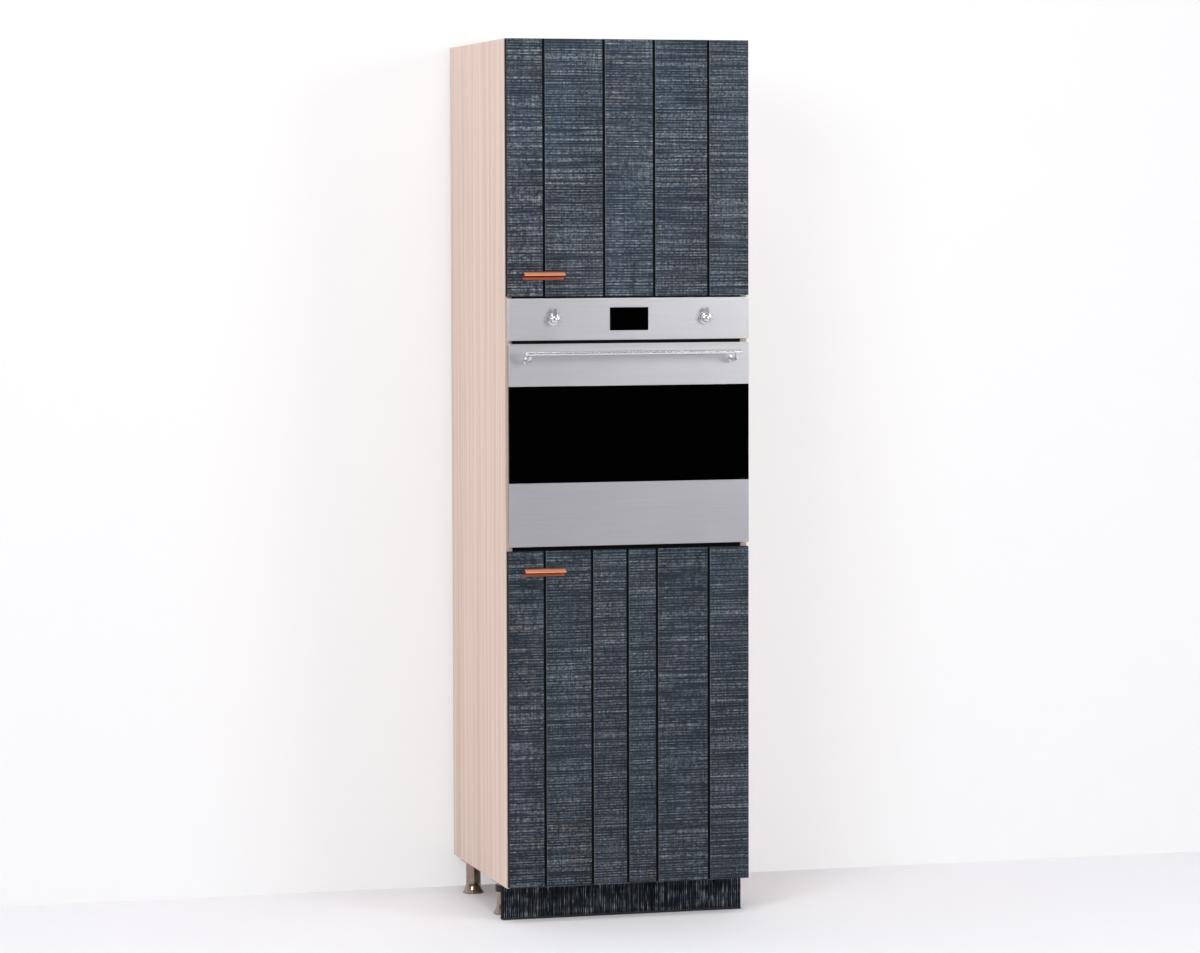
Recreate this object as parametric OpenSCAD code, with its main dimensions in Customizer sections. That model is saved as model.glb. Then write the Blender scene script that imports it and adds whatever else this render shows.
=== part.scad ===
// Tall kitchen unit that houses a built-in oven between an upper and a lower door.
// Millimetres. X runs to the right, Y to the back, Z up. The floor is Z = 0.

/* [Carcass] */
// Outside width of the unit
unit_w = 600; // [560:1:640]
// Depth of the side panels
carcass_d = 560; // [545:1:620]
// Thickness of the carcass boards
board_t = 16; // [15:0.5:19]
// Thickness of the back panels
back_t = 3; // [2.5:0.1:4]
// Depth of the side grooves that hold the back panels
groove_d = 5; // [3:0.5:7]
// Space between the back panels and the wall, filled by the rails
service_gap = 19; // [16:1:30]
// Height of a rear rail
rail_h = 80; // [50:1:110]
// Thickness of a rear rail
rail_t = 16; // [12:1:16]
// Distance between the two wall screws
wall_screw_spacing = 440; // [200:1:480]
// Radius of the wall screw holes
wall_screw_r = 4; // [2.5:0.5:5]
// Radius of the shelf pins
pin_r = 2.45; // [2:0.05:3]

/* [Fronts] */
// Thickness of the doors, planks included
door_t = 20; // [19:0.5:24]
// Gap between a door and the carcass
door_gap = 2; // [2:0.1:3]
// Reveal at each side of a door
side_reveal = 1.5; // [1:0.1:2.5]
// Height of the lower door
lower_door_h = 807.5; // [700:0.5:900]
// Height of the upper door
upper_door_h = 610; // [500:0.5:700]
// Carcass edge left free under the lower door
foot_reveal = 3.5; // [1:0.5:6]
// Gap between the lower door and the oven
below_oven_gap = 11; // [9:0.5:14]
// Gap between the oven and the upper door
above_oven_gap = 4.5; // [3:0.5:8]
// Carcass edge left free above the upper door
top_reveal = 0.5; // [0.5:0.5:4]
// Thickness of the planks on the doors
plank_t = 4; // [3:0.5:4]
// Width of the joints between planks
plank_gap = 4.2; // [2:0.1:8]

/* [Pulls] */
// Length of a door pull
pull_l = 100; // [80:1:160]
// Height of the plate of a pull
pull_plate_h = 20; // [16:0.5:26]
// Thickness of the bent strip
pull_t = 1.6; // [1:0.1:2.5]
// How far the lip of a pull stands out
pull_reach = 22; // [10:0.5:26]
// How far the lip slopes down
pull_drop = 10; // [4:0.5:12]
// Distance from the side of the door to the pull
pull_inset = 37; // [20:1:80]
// Distance from the door's edge by the oven to the middle of the pull
pull_edge = 50; // [30:1:80]

/* [Hinges] */
// Distance from a door's end to the middle of a hinge
hinge_inset = 100; // [70:1:160]
// Radius of a hinge cup
cup_r = 17.5; // [17:0.1:18]
// Depth of a hinge cup
cup_depth = 13.2; // [12.8:0.1:13.6]
// Distance from the door's edge to the middle of a cup
cup_inset = 20; // [19.5:0.1:20.5]
// Depth of the hinge's fixing plate behind the front edge
plate_inset = 37; // [32:1:60]

/* [Legs and plinth] */
// Height of the carcass above the floor
leg_h = 84; // [80:1:120]
// Radius of a leg tube
leg_r = 18.5; // [15:0.5:22]
// Radius of a flared foot
foot_r = 27; // [22:0.5:28]
// Height of a flared foot
foot_h = 30; // [20:1:36]
// How far a foot screws out
foot_travel = 20; // [10:1:25]
// Distance from the unit's side to the middle of a leg
leg_inset = 28; // [28:0.5:60]
// Distance from the front edge to the middle of a front leg
front_leg_y = 145; // [110:1:180]
// Distance from the rear edge to the middle of a rear leg
rear_leg_inset = 93; // [60:1:140]
// How far the plinth stands behind the carcass front
plinth_setback = 50; // [35:1:70]
// Thickness of the plinth board
plinth_t = 16; // [12:1:19]
// Height of the lip under the plinth
seal_h = 5; // [3:0.5:8]

/* [Oven front] */
// Height of the control panel
panel_h = 100; // [80:1:120]
// How far the control panel stands in front of the doors
panel_proud = 1.5; // [0:0.5:4]
// Reveal at each side of the control panel
panel_reveal = 1.75; // [1:0.25:4]
// Gap between the control panel and the oven door
mid_gap = 8; // [5:0.5:12]
// Height of the oven door
oven_door_h = 483; // [460:1:520]
// How far the oven door stands in front of the doors
oven_proud = 5; // [3:0.5:8]
// Reveal at each side of the oven door
oven_reveal = 2.5; // [1.5:0.25:5]
// Height of the steel band at the top of the oven door
top_band_h = 101; // [70:1:120]
// Height of the outer glass
glass_h = 230.5; // [180:0.5:260]
// Thickness of the outer glass
glass_t = 4; // [3:0.5:5]
// Thickness of the steel sheet of the oven's front
front_sheet = 1.5; // [1:0.1:2]
// Width of the display
display_w = 95; // [60:1:140]
// Height of the display
display_h = 55; // [30:1:70]
// Distance from the side of the panel to the middle of a knob
knob_inset = 110; // [60:1:180]
// Radius of a knob's skirt
knob_r = 15.5; // [12:0.5:20]
// Radius of a knob's shaft
shaft_r = 3; // [2.5:0.1:4]
// Distance from the side of the oven door to the end of the bar
bar_inset = 29.5; // [20:0.5:90]
// Radius of the handle bar
bar_r = 5.5; // [5:0.5:9]
// Distance from the oven door to the middle of the bar
bar_reach = 45; // [30:1:60]
// Distance from the door's top to the middle of the bar
bar_drop = 22; // [16:1:45]
// Distance from the end of the bar to the middle of a post
post_inset = 13; // [10:0.5:60]

/* [Oven body] */
// Space for insulation at each side of the cavity
cavity_side = 53; // [50:1:75]
// Height of the cavity
cavity_h = 355; // [320:1:365]
// Space for the fan motor behind the cavity
motor_space = 80; // [78:1:100]
// Height of the cavity floor above the oven's foot
cavity_rise = 44; // [40:1:52]
// Space between the oven and the line of the back panels
rear_air = 28; // [25:1:40]
// Depth of the rear cover
rear_cover_d = 30; // [20:1:40]
// Thickness of the body sheet
body_sheet = 1.2; // [0.8:0.1:1.5]
// Radius of the fan wheel
fan_r = 78; // [60:1:90]
// Radius of the fan shaft
fan_shaft_r = 4; // [3:0.5:5]

/* [Hidden] */
$fn = 48;

// Colours
pale_wood = [0.87, 0.78, 0.73];
dark_core = [0.07, 0.08, 0.1];
dark_plank = [0.25, 0.29, 0.35];
copper = [0.8, 0.48, 0.34];
nickel = [0.72, 0.68, 0.65];
bright_steel = [0.76, 0.76, 0.78];
brushed_steel = [0.72, 0.72, 0.74];
zinc = [0.62, 0.64, 0.66];
enamel = [0.16, 0.17, 0.2];
black_glass = [0.02, 0.02, 0.025];
black_sheet = [0.06, 0.06, 0.07];

// Clearances
fit = 0.3;
running = 0.05;
tiny = 0.01;

// Levels
lower_door_z = leg_h + foot_reveal;
lower_door_top = lower_door_z + lower_door_h;
oven_z = lower_door_top + below_oven_gap;
oven_door_top = oven_z + oven_door_h;
panel_z = oven_door_top + mid_gap;
panel_top = panel_z + panel_h;
upper_door_z = panel_top + above_oven_gap;
upper_door_top = upper_door_z + upper_door_h;
unit_top = upper_door_top + top_reveal;
niche_top = upper_door_z + 0.5;

// Carcass
inner_x = unit_w / 2 - board_t;
back_y = carcass_d - service_gap - back_t;
groove_fit = 0.2;
pin_depth = 10;
pin_out = 8;
pin_pitch = 32;
pin_rows = [37, carcass_d - 90];
shelf_front = 20;
shelf_slack = 1;
lower_shelf_z = (leg_h + board_t + oven_z - board_t) / 2;
upper_shelf_z = (niche_top + unit_top) / 2;
bracket_t = 2;
bracket_w = 40;
bracket_leg = 60;
wall_hole_z = unit_top - board_t - bracket_leg / 2;

// Fronts
door_back = -door_gap;
door_front = -door_gap - door_t;
door_w = unit_w - 2 * side_reveal;
core_front = door_front + plank_t;
upper_joints = door_w * [-0.35, -0.1022, 0.1055, 0.3317];
lower_joints = door_w * [-0.3518, -0.1558, -0.0084, 0.1139, 0.3317];
bumper_r = 4;

// Hinge pivots: distances from the inside of the side panel and from the front edge,
// and in the door from its edge and its back
door_edge = door_w / 2;
arm_pin_in = 34;
inner_arm_pin = [inner_x - arm_pin_in, 4];
outer_arm_pin = [inner_x - arm_pin_in, 22];
inner_cup_pin = [door_edge - 12.5, door_back - 8.5];
outer_cup_pin = [door_edge - 10, door_back - 2.8];
arm_pin_r = 2;
inner_cup_pin_r = 1.6;
outer_cup_pin_r = 1.3;
link_w = 3;
inner_half = 3.8;
outer_from = 4.1;
outer_to = 6.1;
arm_from = 6.4;
arm_to = 7.9;
pocket_half = 6.6;
open_pivot_play = 2.6;
cup_x = door_edge - cup_inset;
cup_wall = 1.1;
flange_t = 1;
rim_notch = 2.5;
flange_reach = 26;
plate_t = 3;
plate_pitch = 32;
upper_hinges = [upper_door_z + hinge_inset, upper_door_top - hinge_inset];
lower_hinges = [lower_door_z + hinge_inset, lower_door_top - hinge_inset];

// Legs and plinth
leg_x = unit_w / 2 - leg_inset;
rear_leg_y = carcass_d - rear_leg_inset;
tube_wall = 1.5;
spindle_r = 5;
bush_h = 12;
leg_plate = 54;
leg_plate_t = 3;
foot_lip = 3;
seal_wall = 1.5;
clip_h = 16;
clip_t = 2.5;

// Oven front
panel_front = door_front - panel_proud;
panel_half = unit_w / 2 - panel_reveal;
frame_t = 3;
frame_half = inner_x - 1;
frame_bottom = lower_door_top + 1.5;
oven_front = door_front - oven_proud;
oven_half = unit_w / 2 - oven_reveal;
oven_back = -frame_t - 5;
inner_glass_t = 4;
band_return = 5;
glass_top = oven_door_top - top_band_h;
glass_bottom = glass_top - glass_h;
knob_x = panel_half - knob_inset;
knob_z = panel_z + panel_h / 2;
bar_l = 2 * (oven_half - bar_inset);
post_spacing = bar_l - 2 * post_inset;
knob_bush_l = 12;
pointer_lean = 4;
bar_y = oven_front - bar_reach;
bar_z = oven_door_top - bar_drop;
oven_axis = [-frame_t - 10, oven_z + 8];
oven_arm_x = frame_half - 17;
oven_arm_t = 4;
oven_slot = 5.2;
oven_arm_r = 4.5;
oven_pin_r = 2.5;

// Oven body
casing_half = inner_x - 6;
casing_d = back_y - rear_cover_d - rear_air;
cavity_w = 2 * (casing_half - cavity_side);
cavity_d = casing_d - motor_space;
casing_top = panel_top - 5;
cavity_floor = oven_z + cavity_rise;
cavity_mid = cavity_floor + cavity_h / 2;
liner_t = 1.5;
gasket_t = 8;
guide_r = 2.5;
guide_x = cavity_w / 2 - fit - guide_r;
rail_x = guide_x - 2 * guide_r + 1;
guide_levels = [40, 105, 170, 235];
cover_depth = 40;
cover_half_w = 140;
cover_half_h = 125;
fan_front = cavity_d - cover_depth + 10;
rack_d = cavity_d - cover_depth - 12;
heater_r = 3.2;

// Places the carcass front edge so that the whole unit is centred in depth
front_reach = -bar_y + bar_r;
carcass_front = (front_reach - carcass_d) / 2;

module from_front() {
    translate([0, carcass_front, 0]) children();
}

// Box between two corners
module block(low, high) {
    translate(low) cube(high - low);
}

module both_sides() {
    children();
    mirror([1, 0, 0]) children();
}

// Cylinder along Y from one depth to another
module rod_y(x, z, y0, y1, r) {
    translate([x, y0, z]) rotate([-90, 0, 0]) cylinder(r = r, h = y1 - y0);
}

module rod_x(y, z, x0, x1, r) {
    translate([x0, y, z]) rotate([0, 90, 0]) cylinder(r = r, h = x1 - x0);
}

// Plate in the XZ plane with rounded corners, drawn from y0 to y1
module rounded_plate(half_w, z0, z1, r, y0, y1) {
    translate([0, y1, 0]) rotate([90, 0, 0]) linear_extrude(y1 - y0)
        rounded_square(half_w, z0, z1, r);
}

module rounded_square(half_w, z0, z1, r) {
    translate([-half_w + r, z0]) square([2 * half_w - 2 * r, z1 - z0]);
    translate([-half_w, z0 + r]) square([2 * half_w, z1 - z0 - 2 * r]);
    for (x = [-half_w + r, half_w - r], z = [z0 + r, z1 - r]) translate([x, z]) circle(r);
}

// Strip of constant width through a list of points
module strip2d(points, w) {
    for (i = [0:len(points) - 2]) {
        a = points[i];
        b = points[i + 1];
        d = b - a;
        translate(a) rotate(atan2(d[1], d[0])) translate([0, -w / 2]) square([norm(d), w]);
        translate(b) circle(w / 2);
    }
    translate(points[0]) circle(w / 2);
}

// ---------- Carcass ----------

module side_panel() {
    color(pale_wood) from_front() difference() {
        block([inner_x, 0, leg_h], [unit_w / 2, carcass_d, unit_top]);
        block([inner_x - 1, back_y - groove_fit, leg_h - 1],
              [inner_x + groove_d, back_y + back_t + groove_fit, unit_top + 1]);
        for (z = [lower_shelf_z, upper_shelf_z], i = [-2:2], y = pin_rows)
            translate([inner_x - 1, y, z + i * pin_pitch - pin_r])
                rotate([0, 90, 0]) cylinder(r = pin_r + running, h = pin_depth + 1);
    }
}

module right_side_panel() {
    side_panel();
}

module left_side_panel() {
    mirror([1, 0, 0]) side_panel();
}

module fixed_board(z) {
    color(pale_wood) from_front() block([-inner_x, 0, z], [inner_x, back_y, z + board_t]);
}

module bottom_panel() {
    fixed_board(leg_h);
}

module oven_shelf() {
    fixed_board(oven_z - board_t);
}

module oven_top_shelf() {
    fixed_board(niche_top);
}

module top_panel() {
    fixed_board(unit_top - board_t);
}

module back_panel(z0, z1) {
    half = inner_x + groove_d - groove_fit;
    block([-half, back_y, z0], [half, back_y + back_t, z1]);
}

module lower_back_panel() {
    color(pale_wood) from_front() back_panel(leg_h, oven_z);
}

module upper_back_panel() {
    color(pale_wood) from_front() difference() {
        back_panel(niche_top, unit_top);
        wall_holes();
    }
}

module wall_holes() {
    for (x = [-1, 1] * wall_screw_spacing / 2)
        rod_y(x, wall_hole_z, back_y - 10, carcass_d + 1, wall_screw_r);
}

module rear_rails() {
    rail_y = back_y + back_t;
    color(pale_wood) from_front() difference() {
        for (z = [leg_h, oven_z, niche_top - rail_h, unit_top - rail_h])
            block([-inner_x, rail_y, z], [inner_x, rail_y + rail_t, z + rail_h]);
        wall_holes();
    }
}

module loose_shelf(z) {
    half = inner_x - shelf_slack;
    color(pale_wood) from_front()
        block([-half, shelf_front, z], [half, back_y - 2, z + board_t]);
}

module lower_shelf() {
    loose_shelf(lower_shelf_z);
}

module upper_shelf() {
    loose_shelf(upper_shelf_z);
}

module shelf_pins() {
    color(zinc) from_front() both_sides()
        for (z = [lower_shelf_z, upper_shelf_z], y = pin_rows) {
            rod_x(y, z - pin_r, inner_x - pin_out, inner_x + pin_depth - fit, pin_r);
            rod_x(y, z - pin_r, inner_x - 1.2, inner_x, pin_r);
        }
}

module wall_brackets() {
    top_z = unit_top - board_t;
    color(zinc) from_front() difference() {
        both_sides() translate([wall_screw_spacing / 2, 0, 0]) {
            block([-bracket_w / 2, back_y - bracket_t, top_z - bracket_leg],
                  [bracket_w / 2, back_y, top_z]);
            block([-bracket_w / 2, back_y - bracket_leg, top_z - bracket_t],
                  [bracket_w / 2, back_y, top_z]);
        }
        wall_holes();
        for (x = [-1, 1] * wall_screw_spacing / 2, y = [15, 40])
            translate([x, back_y - bracket_t - y, top_z - 5]) cylinder(r = 2.5, h = 10);
    }
}

module door_bumpers() {
    thick = door_gap - fit;
    color(dark_core) from_front()
        for (z = [lower_door_z + 20, lower_door_top - 20, upper_door_z + 20, upper_door_top - 20])
            translate([-unit_w / 2 + board_t / 2, 0, z]) rotate([90, 0, 0])
                cylinder(r1 = bumper_r, r2 = bumper_r - 1, h = thick);
}

// ---------- Legs, feet and plinth ----------

module leg_places() {
    for (x = [-leg_x, leg_x], y = [front_leg_y, rear_leg_y]) translate([x, y, 0]) children();
}

module legs() {
    tube_z = foot_h + fit;
    top = leg_h - leg_plate_t;
    color(nickel) from_front() leg_places() difference() {
        union() {
            translate([0, 0, tube_z]) cylinder(r = leg_r, h = leg_h - tube_z);
            translate([0, 0, top]) rounded_pad(leg_plate / 2, 6, leg_plate_t);
        }
        translate([0, 0, tube_z + bush_h])
            cylinder(r = leg_r - tube_wall, h = top - tube_z - bush_h);
        translate([0, 0, tube_z - 1]) cylinder(r = spindle_r + running, h = bush_h + 2);
    }
}

module rounded_pad(half, r, h) {
    linear_extrude(h) rounded_square(half, -half, half, r);
}

// Trumpet foot: its outline is two arcs that meet where the flare is steepest
module foot() {
    flare = foot_r - leg_r;
    rise = foot_h - foot_lip;
    steps = 14;
    function flare_r(t) = leg_r + flare * pow(1 - t, 2.2);
    color(nickel) rotate_extrude() polygon(concat(
        [[0, 0], [foot_r - 1.5, 0], [foot_r, 1.2], [foot_r, foot_lip]],
        [for (i = [1:steps]) [flare_r(i / steps), foot_lip + rise * i / steps]],
        [[spindle_r, foot_h], [spindle_r, leg_h - leg_plate_t - 6],
         [0, leg_h - leg_plate_t - 6]]
    ));
}

module front_left_foot() {
    from_front() translate([-leg_x, front_leg_y, 0]) foot();
}

module front_right_foot() {
    from_front() translate([leg_x, front_leg_y, 0]) foot();
}

module rear_left_foot() {
    from_front() translate([-leg_x, rear_leg_y, 0]) foot();
}

module rear_right_foot() {
    from_front() translate([leg_x, rear_leg_y, 0]) foot();
}

module plinth_board() {
    color(dark_plank) from_front()
        block([-unit_w / 2, plinth_setback, seal_wall],
              [unit_w / 2, plinth_setback + plinth_t, leg_h - fit]);
}

module plinth_seal() {
    color(black_sheet) from_front() difference() {
        block([-unit_w / 2, plinth_setback - seal_wall, 0],
              [unit_w / 2, plinth_setback + plinth_t + seal_wall, seal_h]);
        block([-unit_w / 2 - 1, plinth_setback, seal_wall],
              [unit_w / 2 + 1, plinth_setback + plinth_t, seal_h + 1]);
    }
}

module plinth_clips() {
    back = plinth_setback + plinth_t;
    ring_r = leg_r + running + clip_t;
    z = leg_h - leg_plate_t - clip_h - 10;
    color(black_sheet) from_front() both_sides() translate([leg_x, 0, z]) difference() {
        union() {
            translate([0, front_leg_y, 0]) cylinder(r = ring_r, h = clip_h);
            block([-clip_t, back, 0], [clip_t, front_leg_y, clip_h]);
            block([-clip_h, back, 0], [clip_h, back + clip_t, clip_h]);
        }
        translate([0, front_leg_y, -1]) cylinder(r = leg_r + running, h = clip_h + 2);
        block([-leg_r * 0.7, front_leg_y + leg_r * 0.5, -1],
              [leg_r * 0.7, front_leg_y + 60, clip_h + 1]);
    }
}

// ---------- Cabinet doors ----------

module door_board(z0, z1, hinges) {
    color(dark_core) from_front() difference() {
        block([-door_w / 2, core_front, z0], [door_w / 2, door_back, z1]);
        for (z = hinges)
            rod_y(cup_x, z, door_back - cup_depth - running, door_back + 1, cup_r + running);
    }
}

module door_planks(z0, z1, joints) {
    edges = concat([-door_w / 2 - plank_gap / 2], joints, [door_w / 2 + plank_gap / 2]);
    color(dark_plank) from_front() for (i = [0:len(edges) - 2])
        block([edges[i] + plank_gap / 2, door_front, z0],
              [edges[i + 1] - plank_gap / 2, core_front, z1]);
}

// Bent strip: a plate on the door and a lip that runs forward and down from its top
module door_pull(z) {
    half = pull_plate_h / 2;
    low = half - pull_drop;
    x0 = -door_w / 2 + pull_inset;
    color(copper) from_front() translate([x0, door_front, z]) rotate([90, 0, 90])
        linear_extrude(pull_l) polygon([
            [0, -half], [0, half - 1], [-1, half], [-2, half], [-pull_reach, low + pull_t],
            [-pull_reach - 0.6, low + 0.5], [-pull_reach + 0.2, low - 0.2],
            [-pull_t - 1, half - pull_t - 0.8], [-pull_t, half - pull_t - 2], [-pull_t, -half]
        ]);
}

module upper_door_board() {
    door_board(upper_door_z, upper_door_top, upper_hinges);
}

module upper_door_planks() {
    door_planks(upper_door_z, upper_door_top, upper_joints);
}

module upper_door_pull() {
    door_pull(upper_door_z + pull_edge);
}

module lower_door_board() {
    door_board(lower_door_z, lower_door_top, lower_hinges);
}

module lower_door_planks() {
    door_planks(lower_door_z, lower_door_top, lower_joints);
}

module lower_door_pull() {
    door_pull(lower_door_top - pull_edge);
}

// ---------- Concealed hinges ----------

// Cup with its pocket, the through pin of the inner link and the stub pins of the fork
module hinge_cups(hinges) {
    floor_y = door_back - cup_depth;
    color(zinc) from_front() for (z = hinges) {
        difference() {
            union() {
                rod_y(cup_x, z, floor_y, door_back + tiny, cup_r);
                cup_flange(z);
            }
            intersection() {
                rod_y(cup_x, z, floor_y + 1, door_back + 5, cup_r - cup_wall);
                block([cup_x - 30, floor_y, z - pocket_half], [cup_x + 30, 5, z + pocket_half]);
            }
            block([cup_x - 30, door_back - rim_notch, z - pocket_half], [cup_x, 5, z + pocket_half]);
        }
        translate([inner_cup_pin[0], inner_cup_pin[1], z - pocket_half - 1])
            cylinder(r = inner_cup_pin_r, h = 2 * pocket_half + 2);
        for (s = [0, 1]) mirror_at(z, s)
            translate([outer_cup_pin[0], outer_cup_pin[1], outer_from - 0.15])
                cylinder(r = outer_cup_pin_r, h = pocket_half + 1 - outer_from);
    }
}

module mirror_at(z, s) {
    translate([0, 0, z]) mirror([0, 0, s]) children();
}

module cup_flange(z) {
    translate([cup_x, door_back + flange_t, z]) rotate([90, 0, 0]) linear_extrude(flange_t) {
        circle(cup_r);
        translate([-cup_r + 4, -flange_reach]) square([22, 2 * flange_reach]);
    }
}

module upper_hinge_cups() {
    hinge_cups(upper_hinges);
}

module lower_hinge_cups() {
    hinge_cups(lower_hinges);
}

// Cranked centre link between the arm and the cup
module inner_links(hinges) {
    path = [inner_cup_pin, inner_cup_pin + [-11, 2.95], inner_cup_pin + [-21.75, 10.1], inner_arm_pin];
    color(zinc) from_front() for (z = hinges)
        translate([0, 0, z - inner_half]) linear_extrude(2 * inner_half) difference() {
            union() {
                strip2d(path, link_w);
                translate(inner_cup_pin) circle(inner_cup_pin_r + 1.6);
                translate(inner_arm_pin) circle(arm_pin_r + 1.6);
            }
            translate(inner_cup_pin) circle(inner_cup_pin_r + running);
            translate(inner_arm_pin) circle(arm_pin_r + running);
        }
}

module upper_inner_links() {
    inner_links(upper_hinges);
}

module lower_inner_links() {
    inner_links(lower_hinges);
}

// Fork outside the centre link: its arm end has a wide eye, joined between its cheeks
module outer_links(hinges) {
    path = [outer_cup_pin, outer_cup_pin + [-6.3, 1.6], outer_cup_pin + [-14, 8], outer_arm_pin];
    eye_r = arm_pin_r + open_pivot_play;
    color(zinc) from_front() for (z = hinges) difference() {
        union() {
            for (s = [0, 1]) mirror_at(z, s)
                translate([0, 0, outer_from]) linear_extrude(outer_to - outer_from) {
                    strip2d(path, link_w);
                    translate(outer_cup_pin) circle(outer_cup_pin_r + 1.3);
                }
            translate([outer_arm_pin[0], outer_arm_pin[1], z - outer_to])
                cylinder(r = eye_r + 1.8, h = 2 * outer_to);
        }
        translate([outer_arm_pin[0], outer_arm_pin[1], z - outer_to - 1])
            cylinder(r = eye_r, h = 2 * outer_to + 2);
        translate([outer_cup_pin[0], outer_cup_pin[1], z - outer_to - 1])
            cylinder(r = outer_cup_pin_r + running, h = 2 * outer_to + 2);
    }
}

module upper_outer_links() {
    outer_links(upper_hinges);
}

module lower_outer_links() {
    outer_links(lower_hinges);
}

// Arm with two cheeks and its pins, on a plate screwed to the side panel
module cabinet_hinge_arms() {
    nose_x = inner_arm_pin[0];
    plate_y = plate_inset + plate_pitch / 2;
    tail_y = plate_y + plate_pitch / 2 + 6;
    color(zinc) from_front() for (z = concat(upper_hinges, lower_hinges)) {
        for (s = [0, 1]) mirror_at(z, s)
            translate([0, 0, arm_from]) linear_extrude(arm_to - arm_from) polygon([
                [nose_x - 5, inner_arm_pin[1]], [nose_x - 3, 1], [nose_x + 3, 1],
                [nose_x + 9, 12], [nose_x + 14, 34], [inner_x - plate_t, 40],
                [inner_x - plate_t, tail_y], [nose_x + 16, tail_y], [nose_x + 4, 36],
                [nose_x - 5, 26]
            ]);
        translate([0, 0, z - arm_from - tiny]) linear_extrude(2 * arm_from + 2 * tiny) polygon([
            [nose_x + 4, 36], [nose_x + 16, tail_y], [nose_x + 19, tail_y], [nose_x + 7, 36]
        ]);
        for (p = [inner_arm_pin, outer_arm_pin])
            translate([p[0], p[1], z - arm_to]) cylinder(r = arm_pin_r, h = 2 * arm_to);
        hinge_plate(z, plate_y);
    }
}

module hinge_plate(z, y) {
    half_z = plate_pitch / 2 + 8;
    difference() {
        union() {
            block([inner_x - plate_t, y - 22, z - arm_to], [inner_x, y + 22, z + arm_to]);
            block([inner_x - plate_t, y - 9, z - half_z], [inner_x, y + 9, z + half_z]);
        }
        for (s = [-1, 1]) translate([inner_x - plate_t - 1, y, z + s * plate_pitch / 2])
            rotate([0, 90, 0]) cylinder(r = 2.5, h = plate_t + 2);
    }
}

// ---------- Oven body ----------

module oven_casing() {
    half = casing_half;
    color(zinc) from_front() difference() {
        block([-half, 0, oven_z], [half, casing_d, casing_top]);
        block([-half + body_sheet, -1, oven_z + body_sheet],
              [half - body_sheet, casing_d + 1, casing_top - body_sheet]);
        for (i = [0:7]) both_sides()
            block([40 + i * 24, casing_d - 90, casing_top - 5], [52 + i * 24, casing_d - 30, casing_top + 5]);
    }
}

module oven_rear_cover() {
    half = casing_half;
    y1 = casing_d + rear_cover_d;
    gland_x = half - 70;
    gland_z = casing_top - 110;
    color(zinc) from_front() difference() {
        union() {
            block([-half, casing_d, oven_z], [half, y1, casing_top]);
            rod_y(gland_x, gland_z, y1 - tiny, y1 + 10, 12);
        }
        block([-half + body_sheet, casing_d - 1, oven_z + body_sheet],
              [half - body_sheet, y1 - body_sheet, casing_top - body_sheet]);
        rod_y(gland_x, gland_z, casing_d, y1 + 11, 5);
        for (i = [0:9]) block([-120, y1 - 5, cavity_mid - 90 + i * 18],
                              [120, y1 + 5, cavity_mid - 82 + i * 18]);
    }
}

module oven_cavity_liner() {
    half = cavity_w / 2;
    color(enamel) from_front() difference() {
        rounded_plate(half + liner_t, cavity_floor - liner_t, cavity_floor + cavity_h + liner_t,
                      12 + liner_t, -frame_t, cavity_d + liner_t);
        rounded_plate(half, cavity_floor, cavity_floor + cavity_h, 12, -frame_t - 1, cavity_d);
        rod_y(0, cavity_mid, cavity_d - 1, cavity_d + liner_t + 1, fan_shaft_r + 4);
        rod_y(-half + 45, cavity_floor + cavity_h - 45, cavity_d - 1, cavity_d + liner_t + 1, 18);
    }
}

module oven_front_frame() {
    slack = 0.15;
    grow = liner_t + slack;
    color(black_sheet) from_front() difference() {
        block([-frame_half, -frame_t, frame_bottom], [frame_half, 0, upper_door_z]);
        rounded_plate(cavity_w / 2 + grow, cavity_floor - grow, cavity_floor + cavity_h + grow,
                      12 + grow, -frame_t - 1, 1);
        both_sides() block([oven_arm_x - oven_slot / 2, -frame_t - 1, oven_z + 1],
                           [oven_arm_x + oven_slot / 2, 1, oven_axis[1] + 9]);
    }
}

module oven_gasket() {
    grow = liner_t + 2;
    outer = grow + gasket_t;
    color(black_sheet) from_front() difference() {
        rounded_plate(cavity_w / 2 + outer, cavity_floor - outer, cavity_floor + cavity_h + outer,
                      12 + outer, oven_back + fit, -frame_t);
        rounded_plate(cavity_w / 2 + grow, cavity_floor - grow, cavity_floor + cavity_h + grow,
                      12 + grow, oven_back - 1, 1);
    }
}

// Wire frames on the cavity's side walls that carry the rack and the tray
module rack_guides() {
    color(bright_steel) from_front() both_sides() {
        for (y = [45, rack_d - 25]) translate([guide_x, y, cavity_floor + 20])
            cylinder(r = guide_r, h = cavity_h - 60);
        for (level = guide_levels)
            rod_y(rail_x, cavity_floor + level, 15, rack_d, guide_r);
    }
}

// Bent frame rod with cross wires welded on top of it
module wire_rack() {
    frame_r = 3;
    wire_r = 1.5;
    corner = 12;
    half = guide_x - guide_r - frame_r - fit;
    seat = sqrt(pow(guide_r + frame_r + running, 2) - pow(rail_x - half, 2));
    z = cavity_floor + guide_levels[2] + seat;
    wire_z = z + frame_r + wire_r - 0.6;
    y0 = 18;
    y1 = rack_d - 6;
    count = 17;
    color(bright_steel) from_front() {
        both_sides() {
            rod_y(half, z, y0 + corner, y1 - corner, frame_r);
            tube_bend(half - corner, y0 + corner, z, corner, 270, 90, frame_r);
            tube_bend(half - corner, y1 - corner, z, corner, 0, 90, frame_r);
        }
        for (y = [y0, y1]) rod_x(y, z, -half + corner, half - corner, frame_r);
        for (i = [1:count - 1])
            rod_y(-half + 2 * half * i / count, wire_z, y0 - 1.5, y1 + 1.5, wire_r);
    }
}

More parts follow.
